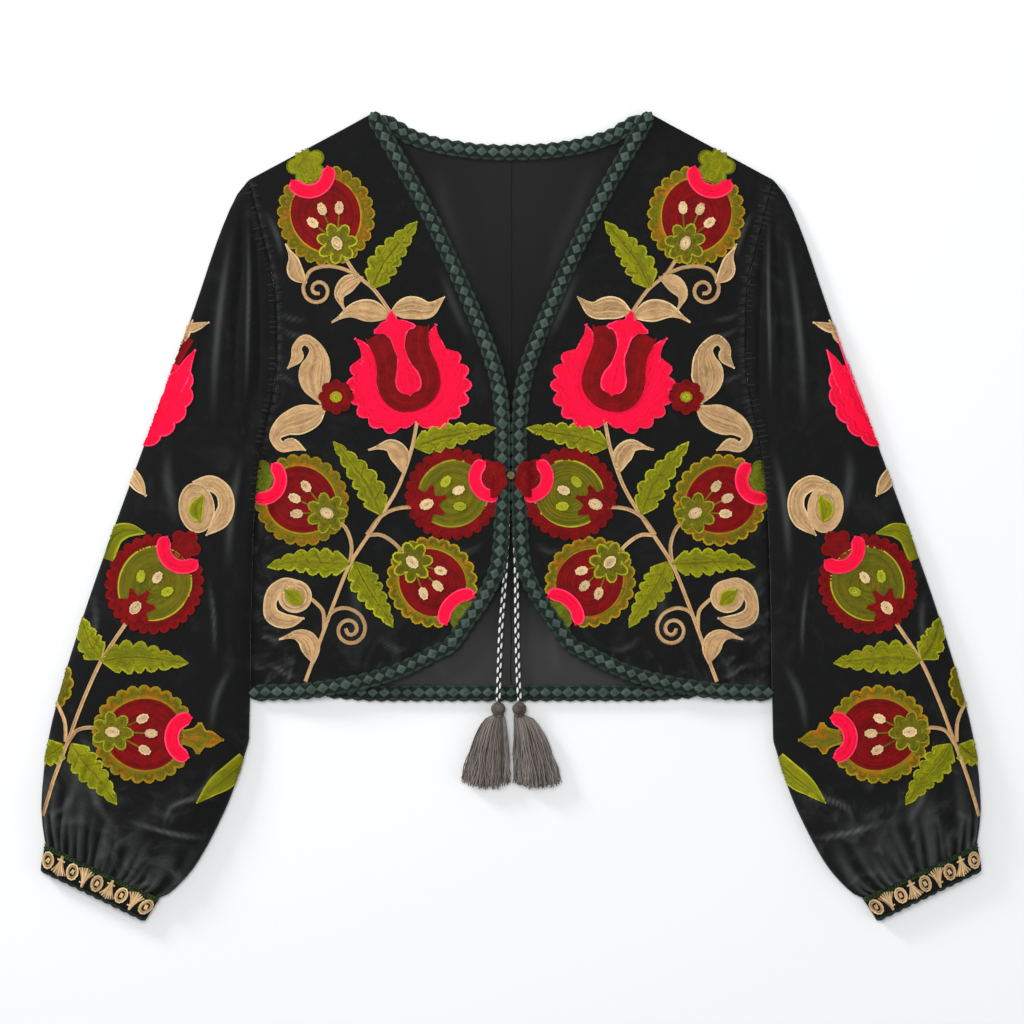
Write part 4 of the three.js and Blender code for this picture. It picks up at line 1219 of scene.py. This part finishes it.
def embroiderFront(half):
    sew = Sewing("front" + half, halves[half])
    pomegranate(sew, (155.4, 252.5), (171.6, 294), 30, 40, {**redInside, "crownSize": 16.5})
    sew.stem([(141, 220), (130, 203), (115, 190), (102, 172)])
    sew.curl((162.3, 189.8), 12.6, 0.45, -1.3, [(130, 203), (144.5, 208.6), (158, 209.6), (168.8, 205.5)])
    sew.paleLeaf([(173, 197), (181, 205), (183, 216), (188.6, 227)], 6.0)
    sew.paleLeaf([(126, 200), (137, 195), (144, 185), (139.6, 172.5)], 6.4)
    sew.paleLeaf([(103.5, 167.5), (119, 172.5), (134, 172), (149, 163.5)], 8.6)
    fuller = (0.15, 0.75, 1.0, 1.0, 0.86, 0.62, 0.3, 0.04)
    sew.paleLeaf([(99.5, 171.5), (84, 175), (69, 173.5), (57, 183)], 8.8, fuller)
    sew.toothedLeaf([(116, 193), (107, 212), (95, 228), (80, 246)], 12.0)
    cupFlower(sew)
    for hooked in ([(160.5, 95.5, 0.5), (164.5, 109, 10.3), (164.8, 120, 13.0), (162.6, 131.5, 9.4),
                    (164.6, 141.8, 4.9), (173.0, 148.0, 3.8), (180.2, 141.2, 3.4), (179.6, 133.6, 4.6),
                    (186.5, 125.4, 0.4)],
                   [(156, 92, 0.5), (166, 85, 9), (178, 80.5, 11.4), (190, 76, 8.4), (198.2, 67, 4.4),
                    (193, 58.2, 3.6), (184, 60, 4.8), (174, 56, 0.4)]):
        sew.leaf("cream", hooked, edge="seed")
    smallFlower(sew, (147, 100))
    sew.paleLeaf([(91, 38), (93, 50), (102, 59), (118, 56)], 7.4)
    sew.toothedLeaf([(80, 59), (58, 66), (38, 70), (15, 73.5)], 10.5)
    pomegranate(sew, (49, 18.5), (15, 32), 28, 38, {**oliveInside, "crownSize": 0})
    lower = {**redInside, "crown": "leafDark"}
    pomegranate(sew, (176, 13.4), (209.5, 30.5), 28.6, 37.6, {**lower, "crownSize": 15.5, "crownOut": 1.0})
    sew.toothedLeaf([(110, 3), (119, 24), (132, 42), (148, 61)], 11.0)
    lowest = {**lower, "crownSize": 13.5, "crownOut": -1.0, "bow": (1.2, 0.36, 0.57)}
    pomegranate(sew, (66.4, -55.4), (42, -80), 28, 36.6, lowest)
    for points in ([(172, -137), (165, -118), (156, -93), (146, -66), (135, -40), (119, -15), (108, 2),
                    (97, 20), (90, 36), (83, 58), (79, 79)],
                   [(135, -38), (134, -24), (139, -10), (149, -2)],
                   [(120, -14), (110, -1), (97, 6), (80, 8)],
                   [(119, -16), (109, -16), (99, -22), (90, -31)]):
        sew.stem(points)
    sew.toothedLeaf([(137, -40), (158, -39), (180, -38), (203, -42.5)], 11.0)
    sew.toothedLeaf([(131, -40), (123, -56), (112, -73), (100, -92)], 11.5)
    hook = [(181, -58, 4), (190, -57.5, 5), (198.5, -63.5, 5.6), (202.5, -73, 4.8), (200.5, -83.5, 6),
            (191.5, -88, 5.8), (183, -88, 4), (175.3, -86.1, 0.3)]
    bud(sew, (181.5, -67.5), 13.6, 13.2, 0.0, hook, [(177, -73), (181, -69), (189, -63)])
    sew.stem([(166, -71), (158, -80), (157, -95)])
    lead = [(155, -88), (149.5, -80), (139, -77.2), (128.5, -81.5), (123.4, -89)]
    sew.curl((135.5, -95.3), 12.9, math.pi, 1.45, lead)
    sew.paleLeaf([(166, -122), (170, -106), (180, -100), (193, -103)], 7.6)


def foldFlower(sew):
    # a cup flower on the outer fold: only its inner side lies on top
    base = smoothLine([(272, 123), (270, 105), (275, 89), (284.5, 76), (295, 67), (308, 60)], 90)
    normal, _ = sideways(base)
    scallops = 3.6 * np.abs(np.sin(math.pi * 5 * np.linspace(0, 1, 91))) ** 0.65
    rim = base - normal * np.sign(normal[45, 0]) * scallops[:, None]
    sew.between("pink", rim, base + np.array([34, 12]), ("rose", None))
    sew.leaf("pink", [(283, 110, 9), (276, 118, 6), (271.5, 128, 3.6), (265.7, 138, 0.3)], edge="rose")


def embroiderSleeve(half):
    sew = Sewing("sleeve" + half, halves[half])
    sew.paleLeaf([(276, 160), (268, 158), (255, 162)], 3.6, (0.9, 1.0, 0.7, 0.05))
    sew.paleLeaf([(281, 147), (274, 151), (268, 163)], 4.0, (1.0, 0.8, 0.5, 0.05))
    foldFlower(sew)
    if half == "left":
        lining = [(277, 152), (284, 134), (292, 112), (303, 84)]
        sew.leaf("pale", lining, 4.4, (0.8, 1.0, 1.0, 0.9), "rose", layer=1)
    else:
        sew.leaf("red", [(271.5, 148), (277, 140), (286, 124)], 5.0, (0.9, 1.0, 1.0, 0.9))
    sew.paleLeaf([(321, 38), (314, 28), (307, 18)], 5.6, (0.8, 1.0, 0.8, 0.05))
    hook = [(264, 25, 4.5), (252, 27.5, 6), (241.5, 20.5, 6.2), (238.8, 8, 6.4), (244, -4, 6.4),
            (254.5, -15, 0.4)]
    bud(sew, (263.6, 7), 20.5, 14.4, 1.45, hook, [(262, -3), (264, 6), (259, 16)])
    pomegranate(sew, (299, -57), (273, -24), 30, 40, {**oliveInside, "crownSize": 13.5, "crownOut": 1.0})
    inner = [(340, -34), (334, -18), (322, -12), (308, -14)]
    sew.leaf("leaf", inner, 8.0, (0.9, 1.0, 0.9, 0.6, 0.1), "lime", "leafDark")
    sew.stem([(324, -92), (343, -121), (358, -154), (370, -186), (382, -218), (392, -250)])
    sew.toothedLeaf([(341, -121), (318, -118), (296, -120), (272, -123)], 13.0)
    sew.toothedLeaf([(344, -119), (353, -106), (360, -86)], 10.5, 4)
    lowest = {**redInside, "crown": "amber", "crownEdge": "gold", "crownTip": 24.0, "crownOut": 1.0}
    pomegranate(sew, (307.5, -182.6), (262, -186), 31, 40.4, lowest)
    sew.stem([(371, -190), (364, -180), (354, -177), (342, -178)])
    sew.stem([(373, -187), (374, -172), (381, -157)])
    sew.toothedLeaf([(367, -192), (356, -208), (344, -222), (331, -240)], 11.5)
    sew.toothedLeaf([(376, -192), (386, -200), (397, -206)], 10.0, 4)
    low = [(262, -239), (250, -228), (238, -219), (224, -206)]
    sew.leaf("leaf", low, 8.0, (0.05, 0.6, 1.0, 1.0, 0.9), "lime", "leafDark")
    sew.rings("olive", (391, -140), lobedOutline((391, -140), 24, 14, 0.12), "gold", 0, 0.4)


# cuff rings and fans: counts, then places down the cuff as shares of its height
scrolls = {"count": 9, "middle": 0.56, "ring": (0.045, 0.33), "heart": (0.009, 0.06), "fan": 0.33,
           "knot": 0.24, "seed": 17}


def cuffRing(sew, place, size, tilt, angle, tone):
    across = place + size[0] * np.cos(angle) + tilt * np.sin(angle)
    sew.row(tone, cuffPoint(across, scrolls["middle"] + size[1] * np.sin(angle)), True)


def cuffFan(sew, place, up, tilt):
    s = np.linspace(0, 1, 14)
    for lean in (-1.0, -0.66, -0.33, 0.0, 0.33, 0.66, 1.0):
        across = place + lean * (0.006 + 0.046 * s**1.4) + tilt * s
        down = -scrolls["fan"] + 2 * scrolls["fan"] * s - 0.1 * abs(lean) * s**3
        tone = "cream" if abs(lean) in (0.33, 1.0) else "seed"
        sew.row(tone, cuffPoint(across, scrolls["middle"] + up * down))
    knot = np.full(3, scrolls["middle"] - up * scrolls["knot"])
    sew.row("seed", cuffPoint(place + np.array([-0.014, 0, 0.014]), knot), False, 1)


def cuffScrolls(half):
    # rings of double thread, with small fans between them that point up and down in turn
    sew = Sewing("cuff" + half, halves[half])
    rng = random.Random(scrolls["seed"] + halves[half])
    around = np.linspace(0, 2 * math.pi, 22, endpoint=False)
    wide, high = scrolls["ring"]
    for k in range(scrolls["count"]):
        place = (k + 0.5) / scrolls["count"]
        tilt = rng.uniform(-0.008, 0.008)
        if k % 2 == 0:
            cuffRing(sew, place, (wide, high), tilt, around, "seed")
            cuffRing(sew, place, (wide * 0.72, high * 0.72), tilt, around, "cream")
            cuffRing(sew, place, scrolls["heart"], 0, around[::3], "seed")
        else:
            cuffFan(sew, place, 1 if k % 4 == 1 else -1, tilt)


def crownOverBraid(half):
    # the crown of the inner fruit runs over the braid to the closing
    side = halves[half]

    def ground(x, y):
        z = heightOn("front" + half, side * max(abs(x), 7.8), y)
        return None if z is None or abs(x) < 3.3 else z + 2.75 * (1 - float(smoothStep(13.0, 18.0, abs(x))))

    centre = (18.4, 31.5)
    Sewing(ground, side).rings("red", centre, lobedOutline(centre, 15.8, 6, 0.16, math.pi + 0.2), None, 0.5)


def thicken(obj):
    # turns a patch face up, drops its unused points and gives it a thin wall
    work = bmesh.new()
    work.from_mesh(obj.data)
    bmesh.ops.delete(work, geom=[v for v in work.verts if not v.link_faces], context="VERTS")
    work.normal_update()
    bmesh.ops.reverse_faces(work, faces=[f for f in work.faces if f.normal.z < 0])
    work.to_mesh(obj.data)
    work.free()
    modifier = obj.modifiers.new("wall", "SOLIDIFY")
    modifier.thickness = thread["wall"] * mm
    modifier.offset = -1.0
    applied(obj, modifier).data.shade_smooth()
    return obj


def finishSewing():
    for colour, material in yarns.items():
        rows, patch = sewn[colour], patches[colour]
        if patch["faces"]:
            ground = linkMesh("stitchGround." + colour, patch["vertices"], patch["faces"])
            keepPiece("ground." + colour, thicken(ground), material)
        if rows["rows"]:
            pieces["rows." + colour] = repeatOn(
                "stitchRows." + colour, rows["rows"], stitch, thread["spacing"], material, thread["sizes"],
                thread["seed"], rows["closed"])


for half in halves:
    embroiderFront(half)
    crownOverBraid(half)
    embroiderSleeve(half)
    cuffScrolls(half)
finishSewing()
print("embroidery sewn")


# braid: a dark band with raised lozenges, scallops on its edges and a fine cord
braid = {"width": 12.0, "thick": 1.5, "pitch": 9.6, "gap": 0.2, "step": 3.2, "sizes": (0.86, 1.08),
         "droop": 0.6, "inset": 1.2, "lifted": 0.9}
lozenge = profileItem("braidLozenge", [(-5.0, 0.2, 0), (-4.4, 0.9, 0.4), (0.0, 4.9, 0.75), (4.4, 0.9, 0.4),
                                       (5.0, 0.2, 0)])
lozengeHeart = profileItem("lozengeHeart", [(-2.6, 0.1, 0), (-2.2, 0.6, 0.5), (0.0, 2.5, 1.05),
                                            (2.2, 0.6, 0.5), (2.6, 0.1, 0)])
scallopItem = profileItem("braidScallop", [(-4.9, 0, 0), (-4.0, 0.9, 0.8), (0.0, 2.0, 1.2), (4.0, 0.9, 0.8),
                                           (4.9, 0, 0)])
threadItem = profileItem("braidThread", [(-2.2, 0, 0), (-1.2, 0.55, 0.5), (1.2, 0.55, 0.5), (2.2, 0, 0)], 4)
pucker = profileItem("seamPucker", [(-1.0, 0, 0), (-0.45, 3.6, 0.75), (0.45, 3.2, 0.7), (1.0, 0, 0)])
pipingRung = profileItem("pipingRung", [(-1.35, 0, 0), (-0.7, 1.9, 0.7), (0.7, 1.9, 0.7), (1.35, 0, 0)])


def offsetLine(line, offset, lift=0.0):
    normal, _ = sideways(line[:, :2])
    return line + np.column_stack([normal * offset, np.full(len(line), lift)])


def sweepBand(name, line, material, droop):
    # a band with a rounded section; droop lowers its edge that overhangs the opening
    half, thick = braid["width"] / 2, braid["thick"]
    section = [(-half, 0.0), (-half, 0.7), (-half * 0.7, thick), (half * 0.7, thick * (1 - 0.3 * droop)),
               (half, 0.5 - droop), (half, -1.4 * droop), (0.6, -1.4 * droop), (0.4, 0.0)]
    rings = np.stack([offsetLine(line, across, up) for across, up in section], axis=1)
    for row, narrow in ((0, 0.6), (1, 0.93), (-2, 0.93), (-1, 0.6)):
        rings[row, :, :2] = line[row, :2] + (rings[row, :, :2] - line[row, :2]) * narrow
    rows, count = rings.shape[:2]
    vertices = rings.reshape(-1, 3)
    obj = linkMesh(name, vertices, outward(vertices, gridFaces(rows, count, 0, True)))
    closeEnds(obj)
    obj.data.materials.append(material)
    return obj


def makeBraid(name, line, droop, seed):
    line = np.asarray(line)
    length = np.linalg.norm(np.diff(line, axis=0), axis=1).sum()
    line = evenly(line, int(length / braid["step"]))
    up, pitch = braid["gap"], braid["pitch"]
    band = sweepBand(name, line + np.array([0, 0, up]), bandCloth, droop)
    high = up + braid["thick"] + 0.1
    middle = [offsetLine(line, 0.3, high)[1:-1]]
    gems = repeatOn(name + ".lozenges", middle, lozenge, pitch, braidYarn, braid["sizes"], seed)
    hearts = repeatOn(name + ".hearts", middle, lozengeHeart, pitch, braidDeep, braid["sizes"], seed)
    half = braid["width"] / 2 - 0.6
    edges = [offsetLine(line, half, up + 0.9 - droop)[3:-3], offsetLine(line, -half, up + 0.9)[3:-3]]
    loops = repeatOn(name + ".scallops", edges, scallopItem, pitch, braidEdge, (0.95, 1.05), seed + 1)
    beside = [offsetLine(line, half - 1.4, high - 0.5 - 0.6 * droop)[2:-2]]
    cords = repeatOn(name + ".cord", beside, threadItem, braid["step"], braidYarn, (1.0, 1.0), seed + 2)
    return joinInto(name, [band, gems, hearts, loops, cords])


def liftedEdge(line, surface, fallback, side):
    out = []
    for x, y in line:
        z = heightOn(surface, x * side, y)
        out.append((x * side, y, fallback if z is None else z))
    heights = np.array([p[2] for p in out])
    smooth = np.convolve(np.pad(heights, 4, mode="edge"), np.ones(9) / 9, mode="valid")
    return np.column_stack([np.array(out)[:, :2], smooth])


def makeBraids():
    edge, hem = frontPlan[:, -1], frontPlan[-1, ::-1]
    path = np.vstack([edge, hem[1:]])
    inner = np.vstack([edge + np.array([braid["inset"], 0]), hem[1:] + np.array([0, braid["inset"]])])
    for name, side in halves.items():
        line = liftedEdge(inner, "front" + name, 6.0, side)
        line[:, :2] = path * np.array([side, 1])
        line = smoothLine(line[::6], 240)[::side]
        pieces["front_braid_" + name] = makeBraid("frontBraid." + name, line, 1.0, 3 + side)
    half = smoothLine(backNeck[:-1] + [(94, 324.3), (110.6, 334.0)], 34)
    whole = np.vstack([mirrorPlan(half[1:])[::-1], half])
    neck = np.column_stack([whole, np.full(len(whole), liningTop)])
    pieces["back_neck_braid"] = makeBraid("backNeckBraid", neck, braid["droop"], 21)
    across = np.linspace(-158, 158, 90)
    rise = 2.6 * smoothStep(112, 158, np.abs(across))
    drop = braid["lifted"] * smoothStep(120, 158, np.abs(across))
    hemLine = np.column_stack([across, body["hem"] + rise, liningTop - drop])
    pieces["back_hem_braid"] = makeBraid("backHemBraid", hemLine, braid["droop"], 31)


def makeSeams():
    # short puckers across the armhole seams, and the sewing line beside them, both in velvet painted lighter
    # as highlight
    line = smoothLine(armholeAndSide[:7], 90)
    normal, _ = sideways(line)
    outwards = normal * np.sign(-normal[20, 0])
    for name, side in halves.items():
        beside = lambda offset: ((line + outwards * offset) * np.array([side, 1]))[2:]
        rows = layOn("front" + name, beside(3.4), -0.35)[0] + layOn("sleeve" + name, beside(-3.2), -0.35)[0]
        folds = repeatOn("seamFolds." + name, rows, pucker, 4.4, seamHighlight, (0.3, 1.3), 70 + side)
        close = layOn("front" + name, beside(1.3), -0.1)[0]
        ridge = repeatOn("seamLine." + name, close, threadItem, 2.6, seamHighlight, (0.8, 1.2), 80 + side)
        pieces["seam_" + name] = joinInto("seamFolds." + name, [folds, ridge])


def makeLiningSeam():
    # the centre-back seam of the lining, where it shows
    y = np.concatenate([np.linspace(296, 60, 90), np.linspace(-30, -139, 44)])
    line = np.column_stack([0.25 * np.sin(y / 9), y, np.full(len(y), liningTop + 0.02)])
    pieces["lining_seam"] = repeatOn(
        "liningSeam", [line[:90], line[90:]], threadItem, 3.0, liningCloth, (0.8, 1.0), 90)


makeBraids()
makeSeams()
makeLiningSeam()
print("braid laid")


# cuff trims: green piping by the seam and scalloped edging at the mouth
edging = {"edgeOuter": (395.6, -298.4), "edgeInner": (308.0, -341.0), "top": 8.8, "floor": 0.5, "cloth": 1.3,
          "hollow": 7.2, "margin": 0.016, "scallops": 12, "gap": (-0.133, -0.268)}


def edgingPoint(t, s):
    t, s = np.asarray(t, float), np.asarray(s, float)[..., None]
    top = cuffPoint(t, np.ones_like(t)) + np.array(edging["gap"])
    edge = np.array(edging["edgeOuter"]) * (1 - t[..., None]) + np.array(edging["edgeInner"]) * t[..., None]
    return top * (1 - s) + edge * s


def makeCuffTrims():
    turn = 2 * math.pi * edging["scallops"]
    floor, cloth, margin = edging["floor"], edging["cloth"], edging["margin"]
    above, below = np.linspace(0, 1, 121), np.linspace(1, 0, 61)[1:-1]
    depth = np.linspace(0, 1, 5)[:, None]
    swell = 1 - 0.22 * np.abs(2 * depth - 1) ** 3
    dome = cuffDome(above, edging["top"])[None, :] * swell + 0.35 * np.abs(np.sin(turn * above / 2))[None, :]
    dome = np.minimum(dome, edging["top"] + 0.3)
    inside = np.maximum(np.minimum(dome - cloth, edging["hollow"]), floor + cloth + 0.5)
    inside[:, 0] = inside[:, -1] = floor + cloth + 0.2

    def ring(place, heightAbove, heightBelow):
        parts = []
        for t, z in ((above, heightAbove), (below, np.full((5, len(below)), heightBelow))):
            scallop = 0.62 + 0.38 * np.abs(np.sin(turn * t / 2)) ** 0.7
            parts.append(np.dstack([edgingPoint(np.broadcast_to(place(t), (5, len(t))), depth * scallop), z]))
        return np.concatenate(parts, axis=1)

    outer = ring(lambda t: t, dome, floor)
    inner = ring(lambda t: margin + t * (1 - 2 * margin), inside, floor + cloth)
    for name, side in halves.items():
        flip = np.array([side, 1, 1])
        base = closedTube("cuffEdging." + name, outer * flip, inner * flip)
        base.data.materials.append(braidEdge)
        t = np.linspace(0.02, 0.98, 70)
        middle = edgingPoint(t, np.full(len(t), 0.36))
        line = np.column_stack([middle, cuffDome(t, edging["top"]) + 0.1]) * flip
        cords = repeatOn("cuffEdgingCord." + name, [line], pipingRung, 2.9, braidEdge, (0.62, 0.7), 40 + side)
        pieces["cuff_edging_" + name] = joinInto("cuffEdging." + name, [base, cords])
        rows = []
        t = np.linspace(0.015, 0.985, 80)
        for s, up in ((0.075, 0.35), (0.012, 0.1), (0.16, 0.1)):
            height = cuffDome(t, cuff["height"]) + up - 0.35
            rows.append(np.column_stack([cuffPoint(t, np.full(len(t), s)), height]) * flip)
        rungs = repeatOn("cuffPiping." + name, rows[:1], pipingRung, 2.7, pipingYarn, (0.94, 1.06), 50 + side)
        threads = repeatOn(
            "cuffPipingEdge." + name, rows[1:], threadItem, 3.4, pipingYarn, (1.2, 1.35), 60 + side)
        pieces["piping_" + name] = joinInto("cuffPiping." + name, [rungs, threads])


makeCuffTrims()
print("cuff trims made")


# ties: twisted black and white cord, one soft line each, with a tassel at the end
tie = {
    "diameter": 0.0046, "length": 165, "step": 0.8, "sides": 20, "lay": 8.4, "low": 5.7, "overBraid": 8.45,
    "down": (9, -12, -50, -95, -124, -139.5, -148, -155.6),
    "across": {"right": (-3.0, -3.1, -5.2, -8.6, -9.8, -10.3, -10.6, -10.8),
               "left": (3.0, 3.1, 4.4, 4.9, 5.6, 6.2, 6.7, 7.0)},
}


def ropeMaterial():
    # the yarn's place round and along the cord picks black or white
    even = {"Mottle": 1.0, "Shade": 0.6}
    material = makeMaterial("twistedTie", dyedYarn, even, {}, (0.1, 0.5), 0.3, 0.4, 0.0003)
    tree = material.node_tree
    ply = addNode(tree, "ShaderNodeAttribute", attribute_name="ply").outputs["Fac"]
    dye = mixColour(tree, rampNode(tree, ply, 0.45, 0.55), linear(22, 22, 22), linear(222, 222, 216))
    for label in ("Dye", "Second Dye"):
        tree.links.new(dye, tree.nodes["effect"].inputs[label])
    return material


twistedTie = ropeMaterial()


def makeTie(name, across):
    heights = [tie["low"]] * 5 + [tie["overBraid"]] * 2 + [tie["overBraid"] - 0.4]
    line = smoothLine(list(zip(across, tie["down"], heights)), int(tie["length"] / tie["step"]))
    tangent = np.gradient(line, axis=0)
    tangent /= np.linalg.norm(tangent, axis=1)[:, None]
    side = np.cross(tangent, [0, 0, 1.0])
    side /= np.linalg.norm(side, axis=1)[:, None]
    up = np.cross(side, tangent)
    radius = tie["diameter"] / mm / 2
    vertices, ply = [], []
    for k, point in enumerate(line):
        ends = min(1.0, 0.35 + min(k, len(line) - 1 - k) / 2)
        for j in range(tie["sides"]):
            turn = 2 * math.pi * j / tie["sides"]
            # white plies show in four columns, and each column is half a lay from the next
            column = math.floor(turn / (math.pi / 2))
            beside = (turn - (column + 0.5) * math.pi / 2) / (math.pi / 4)
            along = (k * tie["step"] / tie["lay"] + 0.5 * (column % 2) + 0.1 * beside) % 1 - 0.5
            white = 1 - (beside / 0.86) ** 2 - (along / 0.3) ** 2
            other = 1 - (beside / 0.86) ** 2 - ((0.5 - abs(along)) / 0.3) ** 2
            reach = radius * (0.82 + 0.18 * math.sqrt(max(0.0, white, other))) * ends
            vertices.append(point + (side[k] * math.cos(turn) + up[k] * math.sin(turn)) * reach)
            ply.append(min(1.0, max(0.0, 0.5 + 0.9 * white)))
    faces = gridFaces(len(line), tie["sides"], 0, True)
    obj = linkMesh(name, vertices, outward(vertices, faces))
    obj.data.attributes.new("ply", "FLOAT", "POINT").data.foreach_set("value", ply)
    closeEnds(obj)
    obj.data.materials.append(twistedTie)
    return obj, line


# tassels: a bound head over a fan of loose strands
tassel = {
    "head": [(6.4, 0.6), (5.6, 2.4), (4.6, 4.0), (3.0, 5.4), (1.2, 6.0), (-0.8, 5.9), (-2.6, 5.3),
             (-4.2, 4.1), (-5.2, 3.5)],
    "collar": [(-4.4, 3.3), (-4.6, 4.2), (-5.4, 4.5), (-6.2, 4.4), (-6.5, 3.3)],
    "headZ": 6.4, "strands": 340, "length": 61.0, "reach": 19.5, "thick": 0.42, "seed": 4, "shades": 71,
    "wrap": 4.5, "wraps": 3, "places": {"right": (-10.8, -162.2, -9.8), "left": (7.0, -162.2, 14.8)},
}


def turned(name, profile, centre, material, count=28, grooves=0, depth=0.0):
    # a form turned about a line that runs along Y
    x, y, z = centre
    vertices = []
    for at, radius in profile:
        for k in range(count):
            angle = 2 * math.pi * k / count
            reach = radius * (1 - depth * (0.5 + 0.5 * math.cos(grooves * angle)))
            vertices.append((x + reach * math.cos(angle), y + at, z + reach * math.sin(angle)))
    faces = gridFaces(len(profile), count, 0, True)
    obj = linkMesh(name, vertices, outward(vertices, faces))
    closeEnds(obj)
    obj.data.materials.append(material)
    return obj


def strandLine(rng, x, y, lean):
    # one loose strand from under the head to the fan's edge
    spread = rng.uniform(-1, 1)
    layer = rng.uniform(-1, 1)
    room = math.sqrt(1 - 0.85 * spread * spread)
    thick = math.sqrt(max(0, 1 - spread * spread))
    root = np.array([x + spread * 4.4, y - 5.0, tassel["headZ"] + 3.2 * layer * thick])
    length = tassel["length"] + 5.0 * (1 - spread * spread) - 2.0 + rng.gauss(0, 1.6)
    tip = np.array([x + lean + spread * tassel["reach"] + rng.gauss(0, 0.7), y - length,
                    max(0.7, 5.4 + 4.4 * layer * room + rng.uniform(-0.6, 0.6))])
    wave, turn, pace = rng.uniform(0.4, 2.0), rng.uniform(0, 6.28), rng.uniform(6, 14)
    points = []
    for t in np.linspace(0, 1, 10) ** 1.3:
        opened = t**0.5
        point = root * (1 - opened) + tip * opened
        swell = 1.6 * layer * math.sin(math.pi * min(1, t * 1.6)) * room
        point[0] += wave * t * math.sin(turn + pace * t)
        point[1] = root[1] * (1 - t) + tip[1] * t
        point[2] = max(0.6, root[2] * (1 - t) + tip[2] * t + swell)
        points.append(point)
    return points


def makeTassel(name, x, y, lean):
    rng = random.Random(tassel["seed"] + (1 if x > 0 else 0))
    middle = tassel["headZ"]
    head = turned("tasselHead." + name, tassel["head"], (x, y, middle), tasselBound, 56, 28, 0.035)
    collar = turned("tasselCollar." + name, tassel["collar"], (x, y, middle), tasselBound)
    lines = [strandLine(rng, x, y, lean) for k in range(tassel["strands"])]
    strands = applyTree(pathObject("tasselStrands." + name, lines), looseStrands, {
        "Thickness": tassel["thick"] * mm, "Sides": 4, "Seed": tassel["shades"], "Finish": tasselYarn})
    strands.data.shade_smooth()
    angle = np.linspace(0, 2 * math.pi, 24, endpoint=False)
    across, high = x + tassel["wrap"] * np.cos(angle), middle + tassel["wrap"] * np.sin(angle)
    places = [y - 4.8 - 0.62 * k for k in range(tassel["wraps"])]
    rounds = [np.column_stack([across, np.full(24, place), high]) for place in places]
    closed = [True] * tassel["wraps"]
    wraps = repeatOn("tasselWrap." + name, rounds, threadItem, 3.2, tasselBound, (0.7, 0.75), 9, closed)
    return joinInto("tassel." + name, [head, collar, strands, wraps])


# the closing bead: a small round knot of green and beige yarn
closing = {"y": 34.0, "radius": 3.4, "low": 11.1, "height": 3.5, "rows": 12, "around": 28, "ribs": 7}


def makeBead():
    vertices = []
    for i in range(closing["rows"] + 1):
        polar = math.pi * i / closing["rows"]
        for k in range(closing["around"]):
            angle = 2 * math.pi * k / closing["around"]
            rib = 1 - 0.07 * (0.5 + 0.5 * math.cos(closing["ribs"] * angle + 3 * polar)) * math.sin(polar)
            reach = closing["radius"] * math.sin(polar) * rib
            z = closing["low"] + closing["height"] / 2 + closing["height"] / 2 * math.cos(polar)
            vertices.append((reach * math.cos(angle), closing["y"] + reach * math.sin(angle), z))
    faces = gridFaces(closing["rows"] + 1, closing["around"], 0, True)
    obj = linkMesh("closingBead", vertices, outward(vertices, faces))
    closeEnds(obj, True)
    keepPiece("closing_bead", obj, yarnMaterial("beadYarn", (66, 74, 34), (150, 132, 92), 1.0))


makeBead()
for name, across in tie["across"].items():
    cordPiece, cordLine = makeTie("tie." + name, across)
    tasselPiece = makeTassel(name, *tassel["places"][name])
    pieces["tie_cord_" + name] = cordPiece
    pieces["tassel_" + name] = tasselPiece
print("ties and tassels made")

for item in items:
    bpy.data.objects.remove(item)


# what each piece stands for
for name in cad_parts:
    if name in pieces:
        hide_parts(name)
for name, piece in pieces.items():
    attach(piece, "root")


# floor and soft light
stage = {
    "half": 6.0, "height": -0.0004, "tone": (0.93, 0.93, 0.93, 1), "room": 0.46, "sky": (0.95, 0.97, 1, 1),
    "areas": [("overhead", (-0.4, 0.7, 2.8), 1.6, 40.0), ("upperLeft", (-2.0, 1.6, 0.8), 0.6, 44.0),
              ("rightFill", (2.2, -0.6, 1.2), 1.2, 8.0)],
}


def makeStage():
    half = stage["half"] / mm
    plan = ((-half, -half), (half, -half), (half, half), (-half, half))
    corners = [(x, y, stage["height"] / mm) for x, y in plan]
    floor = linkMesh("floor", corners, [(0, 1, 2, 3)], smooth=False)
    material = bpy.data.materials.new("paleFloor")
    material.use_nodes = True
    shader = material.node_tree.nodes["Principled BSDF"]
    shader.inputs["Base Color"].default_value = stage["tone"]
    shader.inputs["Roughness"].default_value = 0.9
    shader.inputs["Specular IOR Level"].default_value = 0.1
    floor.data.materials.append(material)
    world = bpy.data.worlds.new("softRoom")
    world.use_nodes = True
    background = world.node_tree.nodes["Background"]
    background.inputs["Color"].default_value = stage["sky"]
    background.inputs["Strength"].default_value = stage["room"]
    bpy.context.scene.world = world
    bpy.context.scene.view_settings.view_transform = "Standard"


def makeLights():
    for name, place, size, power in stage["areas"]:
        data = bpy.data.lights.new(name, "AREA")
        data.energy = power
        data.shape = "DISK"
        data.size = size
        lamp = link(bpy.data.objects.new(name, data))
        lamp.location = place
        lamp.rotation_euler = (-Vector(place)).to_track_quat("-Z", "Y").to_euler()


makeStage()
makeLights()
print("floor and lights made")

bpy.context.view_layer.update()
